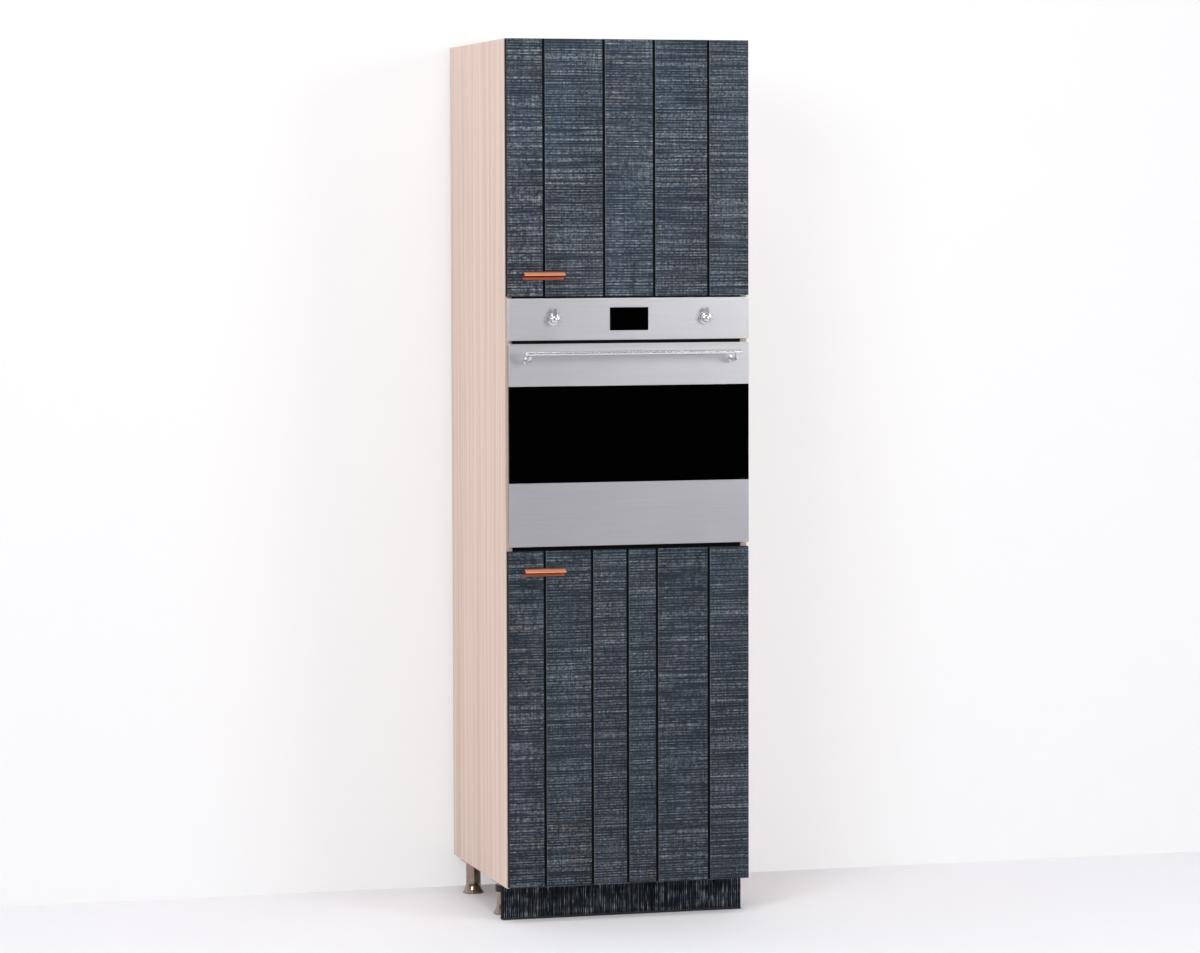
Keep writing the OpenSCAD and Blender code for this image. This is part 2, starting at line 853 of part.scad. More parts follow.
module baking_tray() {
    depth = 24;
    sheet = 1.2;
    top = cavity_floor + guide_levels[0] + guide_r + sheet + running;
    half = rail_x - guide_r - 2;
    corner = 8;
    color(enamel) from_front() difference() {
        union() {
            tray_block(half, 22, rack_d - 6, top - depth, top, corner + sheet);
            tray_block(guide_x - guide_r - fit, 18, rack_d - 2, top - sheet, top, corner + 4);
        }
        tray_block(half - sheet, 22 + sheet, rack_d - 6 - sheet, top - depth + sheet, top + 1, corner);
    }
}

module tray_block(half, y0, y1, z0, z1, r) {
    translate([0, 0, z0]) linear_extrude(z1 - z0) rounded_square(half, y0, y1, r);
}

// Pressed cover in front of the fan, with a round intake grille and side outlets
module fan_cover() {
    slot_pitch = 30;
    slot_front = 12;
    slot_back = 26;
    y0 = cavity_d - cover_depth;
    z0 = cavity_mid - cover_half_h;
    z1 = cavity_mid + cover_half_h;
    color(enamel) from_front() difference() {
        rounded_plate(cover_half_w, z0, z1, 20, y0, cavity_d - 0.2);
        rounded_plate(cover_half_w - 1.2, z0 + 1.2, z1 - 1.2, 18.8, y0 + 1.2, cavity_d + 1);
        for (ring = [20, 36, 52], i = [0:11])
            translate([0, y0 - 1, cavity_mid]) rotate([0, i * 30 + ring, 0])
                translate([ring, 0, 0]) rotate([-90, 0, 0]) cylinder(r = ring / 12 + 2, h = 3);
        for (i = [-3:3]) both_sides()
            block([cover_half_w - 5, y0 + slot_front, cavity_mid + i * slot_pitch - 9],
                  [cover_half_w + 5, y0 + slot_back, cavity_mid + i * slot_pitch + 9]);
    }
}

// Ring round the fan and a grill that snakes under the roof
module heating_elements() {
    ring_r = fan_r + 18;
    ring_y = cavity_d - 20;
    grill_z = cavity_floor + cavity_h - 20;
    bend = 30;
    corner = 15;
    first = 40;
    last = first + 4 * bend;
    front = 25;
    turn_y = front + corner + bend;
    back = cavity_d - cover_depth - 60;
    color(black_sheet) from_front() {
        translate([0, ring_y, cavity_mid]) rotate([90, 0, 0]) rotate_extrude()
            translate([ring_r, 0]) circle(heater_r);
        for (x = [-8, 8]) rod_y(x, cavity_mid + ring_r, ring_y, cavity_d, heater_r - 0.6);
        both_sides() {
            rod_y(first, grill_z, turn_y, cavity_d, heater_r);
            tube_bend(first + bend, turn_y, grill_z, bend, 180, 180, heater_r);
            rod_y(first + 2 * bend, grill_z, turn_y, back, heater_r);
            tube_bend(first + 3 * bend, back, grill_z, bend, 0, 180, heater_r);
            rod_y(last, grill_z, front + corner, back, heater_r);
            tube_bend(last - corner, front + corner, grill_z, corner, 270, 90, heater_r);
        }
        rod_x(front, grill_z, -last + corner, last - corner, heater_r);
    }
}

module tube_bend(x, y, z, bend, start, turn, r) {
    translate([x, y, z]) rotate([0, 0, start]) rotate_extrude(angle = turn)
        translate([bend, 0]) circle(r);
}

module oven_lamp() {
    x = -cavity_w / 2 + 45;
    z = cavity_floor + cavity_h - 45;
    color([0.95, 0.93, 0.85]) from_front() translate([x, cavity_d, z]) rotate([90, 0, 0])
        rotate_extrude() polygon(concat(
            [[0, -18], [17.5, -18], [17.5, 0], [24, 0], [24, 4]],
            [for (a = [0:10:90]) [22 * cos(a), 5 + 13 * sin(a)]]
        ));
}

module fan_motor() {
    y0 = cavity_d + liner_t;
    color(zinc) from_front() difference() {
        union() {
            rod_y(0, cavity_mid, y0 + 3, y0 + 50, 42);
            for (a = [0:120:240]) translate([0, y0, cavity_mid]) rotate([0, a, 0])
                block([-10, 0, 0], [10, 4, 70]);
        }
        rod_y(0, cavity_mid, y0 - 1, y0 + 40, fan_shaft_r + running);
    }
}

// Radial fan wheel with its shaft
module oven_fan() {
    back = cavity_d - 6;
    blades = 22;
    color(zinc) from_front() {
        difference() {
            union() {
                rod_y(0, cavity_mid, back - 1.2, back, fan_r);
                rod_y(0, cavity_mid, fan_front, back, 11);
                rod_y(0, cavity_mid, fan_front, fan_front + 1.2, fan_r);
            }
            rod_y(0, cavity_mid, fan_front - 1, fan_front + 1.2 + tiny, fan_r - 14);
        }
        rod_y(0, cavity_mid, fan_front, fan_front + 1.2, 11);
        for (i = [0:blades - 1]) translate([0, 0, cavity_mid]) rotate([0, i * 360 / blades, 0])
            translate([fan_r - 12, 0, 0]) rotate([0, 25, 0])
                block([-1, fan_front, -0.6], [10, back, 0.6]);
        rod_y(0, cavity_mid, fan_front - 6, cavity_d + liner_t + 36, fan_shaft_r);
    }
}

// ---------- Oven front ----------

module control_panel() {
    back = -frame_t;
    color(brushed_steel) from_front() difference() {
        union() {
            difference() {
                block([-panel_half, panel_front, panel_z], [panel_half, back, panel_top]);
                block([-panel_half + front_sheet, panel_front + front_sheet, panel_z + front_sheet],
                      [panel_half - front_sheet, back + 1, panel_top - front_sheet]);
            }
            for (x = [-knob_x, knob_x])
                rod_y(x, knob_z, panel_front + tiny, panel_front + knob_bush_l, shaft_r + 3);
        }
        block([-display_w / 2, panel_front - 1, knob_z - display_h / 2],
              [display_w / 2, panel_front + front_sheet + 1, knob_z + display_h / 2]);
        for (x = [-knob_x, knob_x])
            rod_y(x, knob_z, panel_front - 1, back + 1, shaft_r + running);
        both_sides() block([frame_half + fit, panel_front + front_sheet + 8, panel_z - 1],
                           [panel_half + 1, back + 1, panel_top + 1]);
    }
}

module display_window() {
    slack = 0.2;
    flange = 3;
    hw = display_w / 2;
    hh = display_h / 2;
    y = panel_front + front_sheet;
    color(black_glass) from_front() {
        block([-hw + slack, panel_front - 0.3, knob_z - hh + slack],
              [hw - slack, y + tiny, knob_z + hh - slack]);
        block([-hw - flange, y, knob_z - hh - flange], [hw + flange, y + 2, knob_z + hh + flange]);
    }
}

// Knob with a skirt, a domed barrel and a tapered pointer that leans from upright by tilt
module knob(x, tilt) {
    barrel_r = 8.6;
    barrel_top = 19;
    dome = 4;
    tip = 26.5;
    tip_r = 3.2;
    root = 6.5;
    shaft_l = knob_bush_l + 1;
    color(bright_steel) from_front() translate([x, panel_front - fit, knob_z])
        rotate([0, tilt, 0]) rotate([90, 0, 0]) {
            rotate_extrude() polygon(concat(
                [[0, -shaft_l], [shaft_r, -shaft_l], [shaft_r, 0], [knob_r, 0], [knob_r, 2.4],
                 [knob_r - 1.2, 4.2], [knob_r - 4, 4.8], [barrel_r + 1.6, 6],
                 [barrel_r + 0.3, 9], [barrel_r, 12]],
                [for (a = [0:15:90]) [barrel_r * cos(a), barrel_top + dome * sin(a)]]
            ));
            translate([0, 0, 10]) linear_extrude(8) polygon(concat(
                [[-root, 0], [root, 0]],
                [for (a = [10:20:170]) [tip_r * cos(a), tip - tip_r + tip_r * sin(a)]]
            ));
        }
}

module temperature_knob() {
    knob(-knob_x, pointer_lean);
}

module function_knob() {
    knob(knob_x, pointer_lean);
}

// ---------- Oven door ----------

// Folded steel front with short returns at its ends
module front_band(z0, z1, top_return) {
    color(brushed_steel) from_front() difference() {
        block([-oven_half, oven_front, z0], [oven_half, oven_front + band_return, z1]);
        block([-oven_half + front_sheet, oven_front + front_sheet, z0 - 1],
              [oven_half - front_sheet, oven_front + band_return + 1,
               z1 - (top_return ? front_sheet : -1)]);
    }
}

module oven_door_top_band() {
    front_band(glass_top, oven_door_top, true);
}

module oven_door_bottom_band() {
    front_band(oven_z, glass_bottom, false);
}

module oven_door_outer_glass() {
    color(black_glass) from_front()
        block([-oven_half, oven_front, glass_bottom + 0.2],
              [oven_half, oven_front + glass_t, glass_top - 0.2]);
}

window_half_w = cavity_w / 2 - 20;
rib = 3;
pocket_x = oven_arm_x - 12;
inner_glass_half = cavity_w / 2 + 26;
inner_glass_z0 = cavity_floor - 18;
inner_glass_z1 = cavity_floor + cavity_h + 30;

module oven_door_frame() {
    half = oven_half - front_sheet - 0.2;
    y0 = oven_front + front_sheet;
    rim_half = oven_half - 3;
    color(black_sheet) from_front() difference() {
        union() {
            block([-half, y0, oven_z + 1], [half, oven_front + band_return + 1, oven_door_top - 2]);
            block([-rim_half, oven_front + band_return, oven_z + 1],
                  [rim_half, oven_back, oven_door_top - 2]);
        }
        block([-oven_half - 1, oven_front - 1, glass_bottom],
              [oven_half + 1, oven_front + glass_t, glass_top]);
        block([-window_half_w, oven_front - 1, cavity_floor + 20],
              [window_half_w, 1, cavity_floor + cavity_h - 30]);
        block([-inner_glass_half - 0.2, oven_back - inner_glass_t, inner_glass_z0 - 0.2],
              [inner_glass_half + 0.2, 1, inner_glass_z1 + 0.2]);
        both_sides() block([oven_arm_x - oven_slot / 2, oven_axis[0] - 7, oven_z - 1],
                           [oven_arm_x + oven_slot / 2, 1, oven_axis[1] + 9]);
        for (i = [-5:5]) block([i * 44 - 16, oven_back - 4, oven_door_top - 22],
                               [i * 44 + 16, oven_back + 1, oven_door_top - 16]);
        frame_pocket(-pocket_x, pocket_x, cavity_floor + cavity_h - 30 + rib, oven_door_top - 2 - rib);
        frame_pocket(-pocket_x, pocket_x, oven_z + 1 + rib, cavity_floor + 20 - rib);
        both_sides() frame_pocket(window_half_w + rib, rim_half - rib,
                                  cavity_floor + 20, cavity_floor + cavity_h - 30);
    }
}

// Hollow of the door frame, open to the front behind the bands and the glass
module frame_pocket(x0, x1, z0, z1) {
    block([x0, oven_front - 1, z0], [x1, oven_back - inner_glass_t - front_sheet, z1]);
}

module oven_door_inner_glass() {
    color(black_glass) from_front()
        block([-inner_glass_half, oven_back - inner_glass_t, inner_glass_z0],
              [inner_glass_half, oven_back, inner_glass_z1]);
}

// Bar on two posts that curl down from its collars to the steel band
module oven_door_handle() {
    end_r = 2.5;
    straight = bar_l / 2 - end_r;
    curl = 18;
    post_r = 4;
    foot_z = bar_z - curl;
    color(bright_steel) from_front() {
        translate([0, bar_y, bar_z]) rotate([0, 90, 0]) rotate_extrude() polygon(concat(
            [[0, -bar_l / 2], [bar_r - end_r, -bar_l / 2]],
            [for (a = [-75:15:0]) [bar_r - end_r + end_r * cos(a), end_r * sin(a) - straight]],
            [for (a = [0:15:75]) [bar_r - end_r + end_r * cos(a), end_r * sin(a) + straight]],
            [[bar_r - end_r, bar_l / 2], [0, bar_l / 2]]
        ));
        for (x = [-1, 1] * post_spacing / 2) {
            rod_x(bar_y, bar_z, x - 6, x + 6, bar_r + 1.5);
            translate([x, bar_y + curl, bar_z]) rotate([90, 0, 90]) rotate([0, 0, 180])
                rotate_extrude(angle = 90) translate([curl, 0]) circle(post_r);
            rod_y(x, foot_z, bar_y + curl, oven_front, post_r);
            translate([x, oven_front, foot_z]) rotate([90, 0, 0]) rotate_extrude()
                polygon([[0, 0], [9, 0], [9, 2.5], [7.5, 4], [5.5, 6], [0, 6]]);
        }
    }
}

// Pins across the slots of the door frame
module oven_door_hinge_pins() {
    color(zinc) from_front() both_sides()
        rod_x(oven_axis[0], oven_axis[1], oven_arm_x - oven_slot / 2,
              oven_arm_x + oven_slot / 2, oven_pin_r);
}

// Steel arms hooked behind the front frame that reach into the door's slots
module oven_hinge_arms() {
    arm_back = 30;
    plate_rise = 50;
    color(zinc) from_front() both_sides() translate([oven_arm_x, 0, 0]) difference() {
        union() {
            rod_x(oven_axis[0], oven_axis[1], -oven_arm_t / 2, oven_arm_t / 2, oven_arm_r);
            block([-oven_arm_t / 2, oven_axis[0], oven_axis[1] - 3.5],
                  [oven_arm_t / 2, arm_back, oven_axis[1] + 3.5]);
            block([-10, 0, oven_z + body_sheet], [9, 3, oven_axis[1] + plate_rise]);
        }
        rod_x(oven_axis[0], oven_axis[1], -oven_arm_t, oven_arm_t, oven_pin_r + running);
    }
}

left_side_panel();
right_side_panel();
top_panel();
bottom_panel();
oven_shelf();
oven_top_shelf();
upper_back_panel();
lower_back_panel();
rear_rails();
upper_shelf();
lower_shelf();
shelf_pins();
wall_brackets();
cabinet_hinge_arms();
door_bumpers();
legs();
plinth_board();
plinth_seal();
plinth_clips();
front_left_foot();
front_right_foot();
rear_left_foot();
rear_right_foot();
upper_door_board();
upper_door_planks();
upper_door_pull();
upper_hinge_cups();
upper_inner_links();
upper_outer_links();
lower_door_board();
lower_door_planks();
lower_door_pull();
lower_hinge_cups();
lower_inner_links();
lower_outer_links();
oven_casing();
oven_rear_cover();
oven_cavity_liner();
oven_front_frame();
oven_gasket();
rack_guides();
wire_rack();
baking_tray();
fan_cover();
heating_elements();
oven_lamp();
fan_motor();
control_panel();
display_window();
oven_hinge_arms();
oven_fan();
temperature_knob();
function_knob();
oven_door_top_band();
oven_door_outer_glass();
oven_door_bottom_band();
oven_door_inner_glass();
oven_door_frame();
oven_door_handle();
oven_door_hinge_pins();
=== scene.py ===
import math
import bpy
from mathutils import Matrix, Vector


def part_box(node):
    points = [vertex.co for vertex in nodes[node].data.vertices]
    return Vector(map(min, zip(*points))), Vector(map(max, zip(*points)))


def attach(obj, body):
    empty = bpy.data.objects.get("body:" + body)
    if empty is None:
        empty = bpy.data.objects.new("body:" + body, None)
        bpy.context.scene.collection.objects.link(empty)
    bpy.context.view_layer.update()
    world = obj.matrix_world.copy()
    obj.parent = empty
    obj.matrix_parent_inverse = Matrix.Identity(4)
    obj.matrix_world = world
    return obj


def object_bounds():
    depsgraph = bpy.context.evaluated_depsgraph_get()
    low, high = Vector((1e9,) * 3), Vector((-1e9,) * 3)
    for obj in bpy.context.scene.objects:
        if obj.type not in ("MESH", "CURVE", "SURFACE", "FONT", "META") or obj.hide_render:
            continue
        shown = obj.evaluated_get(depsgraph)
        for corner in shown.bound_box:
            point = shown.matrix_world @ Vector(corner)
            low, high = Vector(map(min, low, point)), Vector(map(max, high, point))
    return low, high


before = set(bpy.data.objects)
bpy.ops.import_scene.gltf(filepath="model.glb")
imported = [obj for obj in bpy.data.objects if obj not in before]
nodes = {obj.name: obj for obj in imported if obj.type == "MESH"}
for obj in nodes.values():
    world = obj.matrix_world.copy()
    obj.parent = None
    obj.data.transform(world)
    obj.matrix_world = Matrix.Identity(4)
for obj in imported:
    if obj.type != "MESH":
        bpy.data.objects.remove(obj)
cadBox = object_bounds()
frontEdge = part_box("right_side_panel")[0].y     # front edges of the carcass
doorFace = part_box("upper_door_planks")[0].y     # front of the planks
print("frame loaded:", len(nodes), "nodes")


# Small helpers

def addNode(tree, kind, **settings):
    node = tree.nodes.new(kind)
    for name, value in settings.items():
        setattr(node, name, value)
    return node


def setInputs(node, **values):
    for name, value in values.items():
        node.inputs[name.replace("_", " ")].default_value = value
    return node


def shade(r, g, b):                             # a colour as seen on screen, made linear
    def linear(v):
        v = v / 255
        return v / 12.92 if v <= 0.04045 else ((v + 0.055) / 1.055) ** 2.4
    return (linear(r), linear(g), linear(b), 1.0)


def meshObject(name, verts, faces, material):
    mesh = bpy.data.meshes.new(name)
    mesh.from_pydata(verts, [], faces)
    mesh.materials.append(material)
    obj = bpy.data.objects.new(name, mesh)
    bpy.context.scene.collection.objects.link(obj)
    return obj


def applyModifiers(obj):                        # turns what the modifiers make into a plain mesh
    graph = bpy.context.evaluated_depsgraph_get()
    mesh = bpy.data.meshes.new_from_object(obj.evaluated_get(graph))
    obj.modifiers.clear()
    obj.data = mesh


# Shader groups: effects that several finishes share

def newGroup(name, inputs, outputs):
    tree = bpy.data.node_groups.new(name, "ShaderNodeTree")
    for label, kind, value in inputs:
        socket = tree.interface.new_socket(name=label, in_out="INPUT", socket_type="NodeSocket" + kind)
        if value is not None:
            socket.default_value = value
    for label, kind in outputs:
        tree.interface.new_socket(name=label, in_out="OUTPUT", socket_type="NodeSocket" + kind)
    return tree, addNode(tree, "NodeGroupInput"), addNode(tree, "NodeGroupOutput")


def calc(tree, operation, a, b=None, c=None, clamp=False):
    node = addNode(tree, "ShaderNodeMath", operation=operation, use_clamp=clamp)
    for socket, value in zip(node.inputs, (a, b, c)):
        if isinstance(value, (int, float)):
            socket.default_value = value
        elif value is not None:
            tree.links.new(value, socket)
    return node.outputs[0]


def near(tree, value, centre, reach):           # 1 where the value lies within reach of the centre
    return calc(tree, "COMPARE", value, centre, reach)


def remap(tree, value, low, high, toLow=0.0, toHigh=1.0):
    node = addNode(tree, "ShaderNodeMapRange")
    setInputs(node, From_Min=low, From_Max=high, To_Min=toLow, To_Max=toHigh)
    tree.links.new(value, node.inputs["Value"])
    return node.outputs["Result"]


def noiseOn(tree, vector, scale=1.0, detail=0.0, roughness=0.5):
    noise = addNode(tree, "ShaderNodeTexNoise")
    setInputs(noise, Scale=scale, Detail=detail, Roughness=roughness)
    tree.links.new(vector, noise.inputs["Vector"])
    return noise.outputs["Fac"]


def axes(tree, vector):                         # the X, Y and Z of a vector
    cut = addNode(tree, "ShaderNodeSeparateXYZ")
    tree.links.new(vector, cut.inputs[0])
    return cut.outputs


def joined(tree, x, y, z):
    join = addNode(tree, "ShaderNodeCombineXYZ")
    for axis, value in zip("XYZ", (x, y, z)):
        if value is not None:
            tree.links.new(value, join.inputs[axis])
    return join.outputs[0]


def stretched(tree, vector, scales):
    scale = addNode(tree, "ShaderNodeVectorMath", operation="MULTIPLY")
    scale.inputs[1].default_value = scales
    tree.links.new(vector, scale.inputs[0])
    return scale.outputs[0]


def blendColour(tree, factor, a, b):
    mix = addNode(tree, "ShaderNodeMix", data_type="RGBA")
    for socket, value in ((mix.inputs["Factor"], factor), (mix.inputs[6], a), (mix.inputs[7], b)):
        if isinstance(value, (int, float, tuple)):
            socket.default_value = value
        else:
            tree.links.new(value, socket)
    return mix.outputs[2]


def mixShaders(tree, factor, a, b):
    mix = addNode(tree, "ShaderNodeMixShader")
    for socket, value in zip(mix.inputs, (factor, a.outputs[0], b.outputs[0])):
        tree.links.new(value, socket)
    return mix


# Fine straight grain along the group's X, for pale boards and for brushed metal
grainLook = {"fine": {"detail": 4.0, "roughness": 0.6},
             "broad": {"scale": 0.12, "detail": 2.0, "roughness": 0.5}}


def makeGrainGroup():
    tree, inp, out = newGroup(
        "straightGrain",
        [("Vector", "Vector", None), ("Fineness", "Float", 300.0), ("Length", "Float", 3.0)],
        [("Fine", "Float"), ("Broad", "Float")])
    cut = axes(tree, inp.outputs["Vector"])
    along = calc(tree, "MULTIPLY", cut["X"], inp.outputs["Length"])
    depth, across = (calc(tree, "MULTIPLY", cut[axis], inp.outputs["Fineness"]) for axis in "YZ")
    spot = joined(tree, along, depth, across)
    tree.links.new(noiseOn(tree, spot, **grainLook["fine"]), out.inputs["Fine"])
    tree.links.new(noiseOn(tree, spot, **grainLook["broad"]), out.inputs["Broad"])
    return tree


# Soft cloudy wear that shifts the gloss a little
cloudLook = {"detail": 5.0, "roughness": 0.6}


def makeWearGroup():
    tree, inp, out = newGroup(
        "handledWear",
        [("Vector", "Vector", None), ("Scale", "Float", 12.0), ("Amount", "Float", 0.1),
         ("Level", "Float", 0.4)],
        [("Roughness", "Float"), ("Cloud", "Float")])
    cloud = noiseOn(tree, inp.outputs["Vector"], **cloudLook)
    tree.links.new(inp.outputs["Scale"], cloud.node.inputs["Scale"])
    centred = calc(tree, "SUBTRACT", cloud, 0.5)
    shifted = calc(tree, "MULTIPLY_ADD", centred, inp.outputs["Amount"], inp.outputs["Level"])
    tree.links.new(shifted, out.inputs["Roughness"])
    tree.links.new(cloud, out.inputs["Cloud"])
    return tree


# Saw marks across a plank: rows of pale dashes on a dark stain, with a faint upright weave.
# Each field is noise with its own cells along, into and across the rows, kept from and to some level
sawnLook = {
    "drift": {"cells": (0.03, 11, 0.12), "detail": 1.0, "keep": (0.0, 1.0), "give": (0.0, 9.0)},
    "rowTone": {"cells": (0.05, 13, 0.9), "detail": 1.0, "keep": (0.34, 0.66), "give": (0.15, 1.0)},
    "strongRows": {"cells": (0.02, 17, 1.3), "detail": 0.0, "keep": (0.58, 0.72), "give": (0.0, 1.0)},
    "fineRows": {"cells": (0.10, 27, 2.2), "detail": 0.0, "keep": (0.48, 0.68), "give": (0.0, 1.0)},
    "dashes": {"cells": (1.5, 20, 1.4), "detail": 2.0, "keep": (0.34, 0.66), "give": (0.05, 1.0)},
    "weave": {"cells": (3.0, 20, 0.10), "detail": 1.0, "keep": (0.36, 0.64), "give": (0.55, 1.2)},
    "fleckZone": {"cells": (0.10, 9, 0.06), "detail": 1.0, "keep": (0.40, 0.66), "give": (0.0, 1.0)},
    "flecks": {"cells": (0.9, 30, 1.3), "detail": 0.0, "keep": (0.56, 0.68), "give": (0.0, 1.0)},
}
sawnRoughness = 0.55
sawnPatch = {"cells": (14.0, 6.0, 3.0), "detail": 2.0}
sawnShares = {"rows": 0.58, "strongRows": 0.36, "fineRows": 0.24,
              "heightStreak": 0.7, "heightWeave": 0.2}
plankShift = {"depth": 9.1, "across": 3.7}      # moves the pattern from one plank to the next
rowCrest = 0.95                                 # height of the sine where a row has its full strength


def makeSawnGroup():
    tree, inp, out = newGroup(
        "sawnSurface",
        [("Vector", "Vector", None), ("Plank", "Float", 0.0), ("Row Pitch", "Float", 0.0064),
         ("Dash Length", "Float", 0.011)],
        [("Streak", "Float"), ("Fleck", "Float"), ("Patch", "Float"), ("Height", "Float")])
    shift = joined(tree, None, calc(tree, "MULTIPLY", inp.outputs["Plank"], plankShift["depth"]),
                   calc(tree, "MULTIPLY", inp.outputs["Plank"], plankShift["across"]))
    place = addNode(tree, "ShaderNodeVectorMath", operation="ADD")
    tree.links.new(inp.outputs["Vector"], place.inputs[0])
    tree.links.new(shift, place.inputs[1])
    spot = place.outputs[0]
    cut = axes(tree, spot)
    across = calc(tree, "DIVIDE", cut["Z"], inp.outputs["Row Pitch"])
    along = calc(tree, "DIVIDE", cut["X"], inp.outputs["Dash Length"])

    def field(name):
        look = sawnLook[name]
        x, y, z = (calc(tree, "MULTIPLY", value, cells)
                   for value, cells in zip((along, cut["Y"], across), look["cells"]))
        noise = noiseOn(tree, joined(tree, x, y, z), detail=look["detail"], roughness=sawnRoughness)
        return remap(tree, noise, *look["keep"], *look["give"])

    def share(value, name):
        return calc(tree, "MULTIPLY", value, sawnShares[name])

    turns = calc(tree, "MULTIPLY_ADD", across, math.tau, field("drift"))
    wave = remap(tree, calc(tree, "SINE", turns), 0.0, rowCrest)
    rows = share(calc(tree, "MULTIPLY", wave, field("rowTone")), "rows")
    both = calc(tree, "ADD", rows, share(field("strongRows"), "strongRows"))
    every = calc(tree, "ADD", both, share(field("fineRows"), "fineRows"))
    weave = field("weave")
    broken = calc(tree, "MULTIPLY", calc(tree, "MULTIPLY", every, field("dashes")), weave, clamp=True)
    fleck = calc(tree, "MULTIPLY", field("flecks"), field("fleckZone"))
    patch = noiseOn(tree, stretched(tree, spot, sawnPatch["cells"]), detail=sawnPatch["detail"])
    height = calc(tree, "ADD", share(broken, "heightStreak"), share(weave, "heightWeave"))
    for label, value in (("Streak", broken), ("Fleck", fleck), ("Patch", patch), ("Height", height)):
        tree.links.new(value, out.inputs[label])
    return tree


grainGroup = makeGrainGroup()
wearGroup = makeWearGroup()
sawnGroup = makeSawnGroup()
print("shader groups ready")


# Finishes

squareOn = 0.9                                  # a face's normal past this looks along the axis
tones = (0.35, 0.65)                            # the middle part of a noise, where most of it lies
grainUp = (0, -math.pi / 2, 0)                  # turns the grain from X to Z
grainAcross = (0, 0, 0)


def newFinish(name):
    material = bpy.data.materials.new(name)
    material.use_nodes = True
    tree = material.node_tree
    return material, tree, tree.nodes["Principled BSDF"], addNode(tree, "ShaderNodeTexCoord")


def useGroup(tree, group, vector, **values):
    node = addNode(tree, "ShaderNodeGroup", node_tree=group)
    setInputs(node, **values)
    tree.links.new(vector, node.inputs["Vector"])
    return node.outputs


def setColour(tree, shader, colour):
    tree.links.new(colour, shader.inputs["Base Color"])


def addBump(tree, shader, height, strength, distance):
    bump = addNode(tree, "ShaderNodeBump")
    setInputs(bump, Strength=strength, Distance=distance)
    tree.links.new(height, bump.inputs["Height"])
    tree.links.new(bump.outputs["Normal"], shader.inputs["Normal"])


def turned(tree, coords, rotation):
    mapping = addNode(tree, "ShaderNodeMapping", vector_type="POINT")
    mapping.inputs["Rotation"].default_value = rotation
    tree.links.new(coords.outputs["Object"], mapping.inputs["Vector"])
    return mapping.outputs[0]


# Pale laminate with a fine pink grain. Sawn edges that nobody sees in use show the chipboard
boardLook = {"light": shade(234, 211, 197), "dark": shade(214, 187, 171), "pore": shade(197, 166, 148),
             "fineness": 820.0, "length": 6.0, "pores": (0.56, 0.78), "poreAmount": 0.7,
             "roughness": 0.5, "wearScale": 9.0, "wear": 0.1, "bump": 0.12, "bumpDepth": 0.0003,
             "chip": shade(186, 158, 124), "chipDark": shade(138, 110, 80), "chipScale": 330.0,
             "chips": (0.40, 0.62), "chipRoughness": 0.85, "black": shade(7, 7, 8)}


def makeBoard(name, rotation, bareTop=False, bareBack=boardLook["chip"], paintedShadeFront=False):
    look = boardLook
    material, tree, shader, coords = newFinish(name)
    grain = useGroup(tree, grainGroup, turned(tree, coords, rotation), Fineness=look["fineness"],
                     Length=look["length"])
    wear = useGroup(tree, wearGroup, coords.outputs["Object"], Scale=look["wearScale"],
                    Amount=look["wear"], Level=look["roughness"])
    base = blendColour(tree, remap(tree, grain["Broad"], *tones), look["light"], look["dark"])
    pores = remap(tree, grain["Fine"], *look["pores"], 0.0, look["poreAmount"])
    face = blendColour(tree, pores, base, look["pore"])
    facing = axes(tree, coords.outputs["Normal"])
    bare = calc(tree, "GREATER_THAN", facing["Y"], squareOn)
    if bareTop:
        upDown = calc(tree, "GREATER_THAN", calc(tree, "ABSOLUTE", facing["Z"]), squareOn)
        bare = calc(tree, "MAXIMUM", bare, upDown)
    chips = noiseOn(tree, coords.outputs["Object"], look["chipScale"], detail=3.0, roughness=0.6)
    chipped = blendColour(tree, remap(tree, chips, *look["chips"]), bareBack, look["chipDark"])
    # painted shade: the front edge goes black, standing in for the shade in the gap above the lower door
    if paintedShadeFront:
        front = calc(tree, "LESS_THAN", facing["Y"], -squareOn)
        face = blendColour(tree, front, face, look["black"])
    setColour(tree, shader, blendColour(tree, bare, face, chipped))
    chipRough = (look["chipRoughness"],) * 3 + (1.0,)
    tree.links.new(blendColour(tree, bare, wear["Roughness"], chipRough), shader.inputs["Roughness"])
    addBump(tree, shader, grain["Fine"], look["bump"], look["bumpDepth"])
    return material


# Dark stained planks. The joints give each plank its own shift of the pattern and tone
plankLook = {"deep": shade(28, 33, 43), "body": shade(46, 53, 65), "teal": shade(37, 53, 66),
             "chalk": shade(176, 188, 198), "warm": shade(190, 164, 136), "edge": shade(2, 2, 3),
             "specular": 0.15, "toneSpread": 0.14, "arris": 0.0014, "arrisTone": 0.14, "gap": 0.0042,
             "stain": 0.0012, "fade": 0.45, "contrast": 1.0, "strokes": 0.9, "rowPitch": 0.0064,
             "dashLength": 0.011, "hueCells": (9.0, 5.0, 2.0), "hues": (0.50, 0.68), "hueAmount": 0.5,
             "faceOn": 0.6, "roughness": (0.62, 0.85), "bump": 0.4, "bumpDepth": 0.0006}
plinthLook = dict(plankLook, deep=shade(2, 4, 7), body=shade(9, 16, 25), teal=shade(7, 20, 32),
                  chalk=shade(206, 220, 232), specular=0.08, contrast=1.45, rowPitch=0.0052,
                  dashLength=0.04)


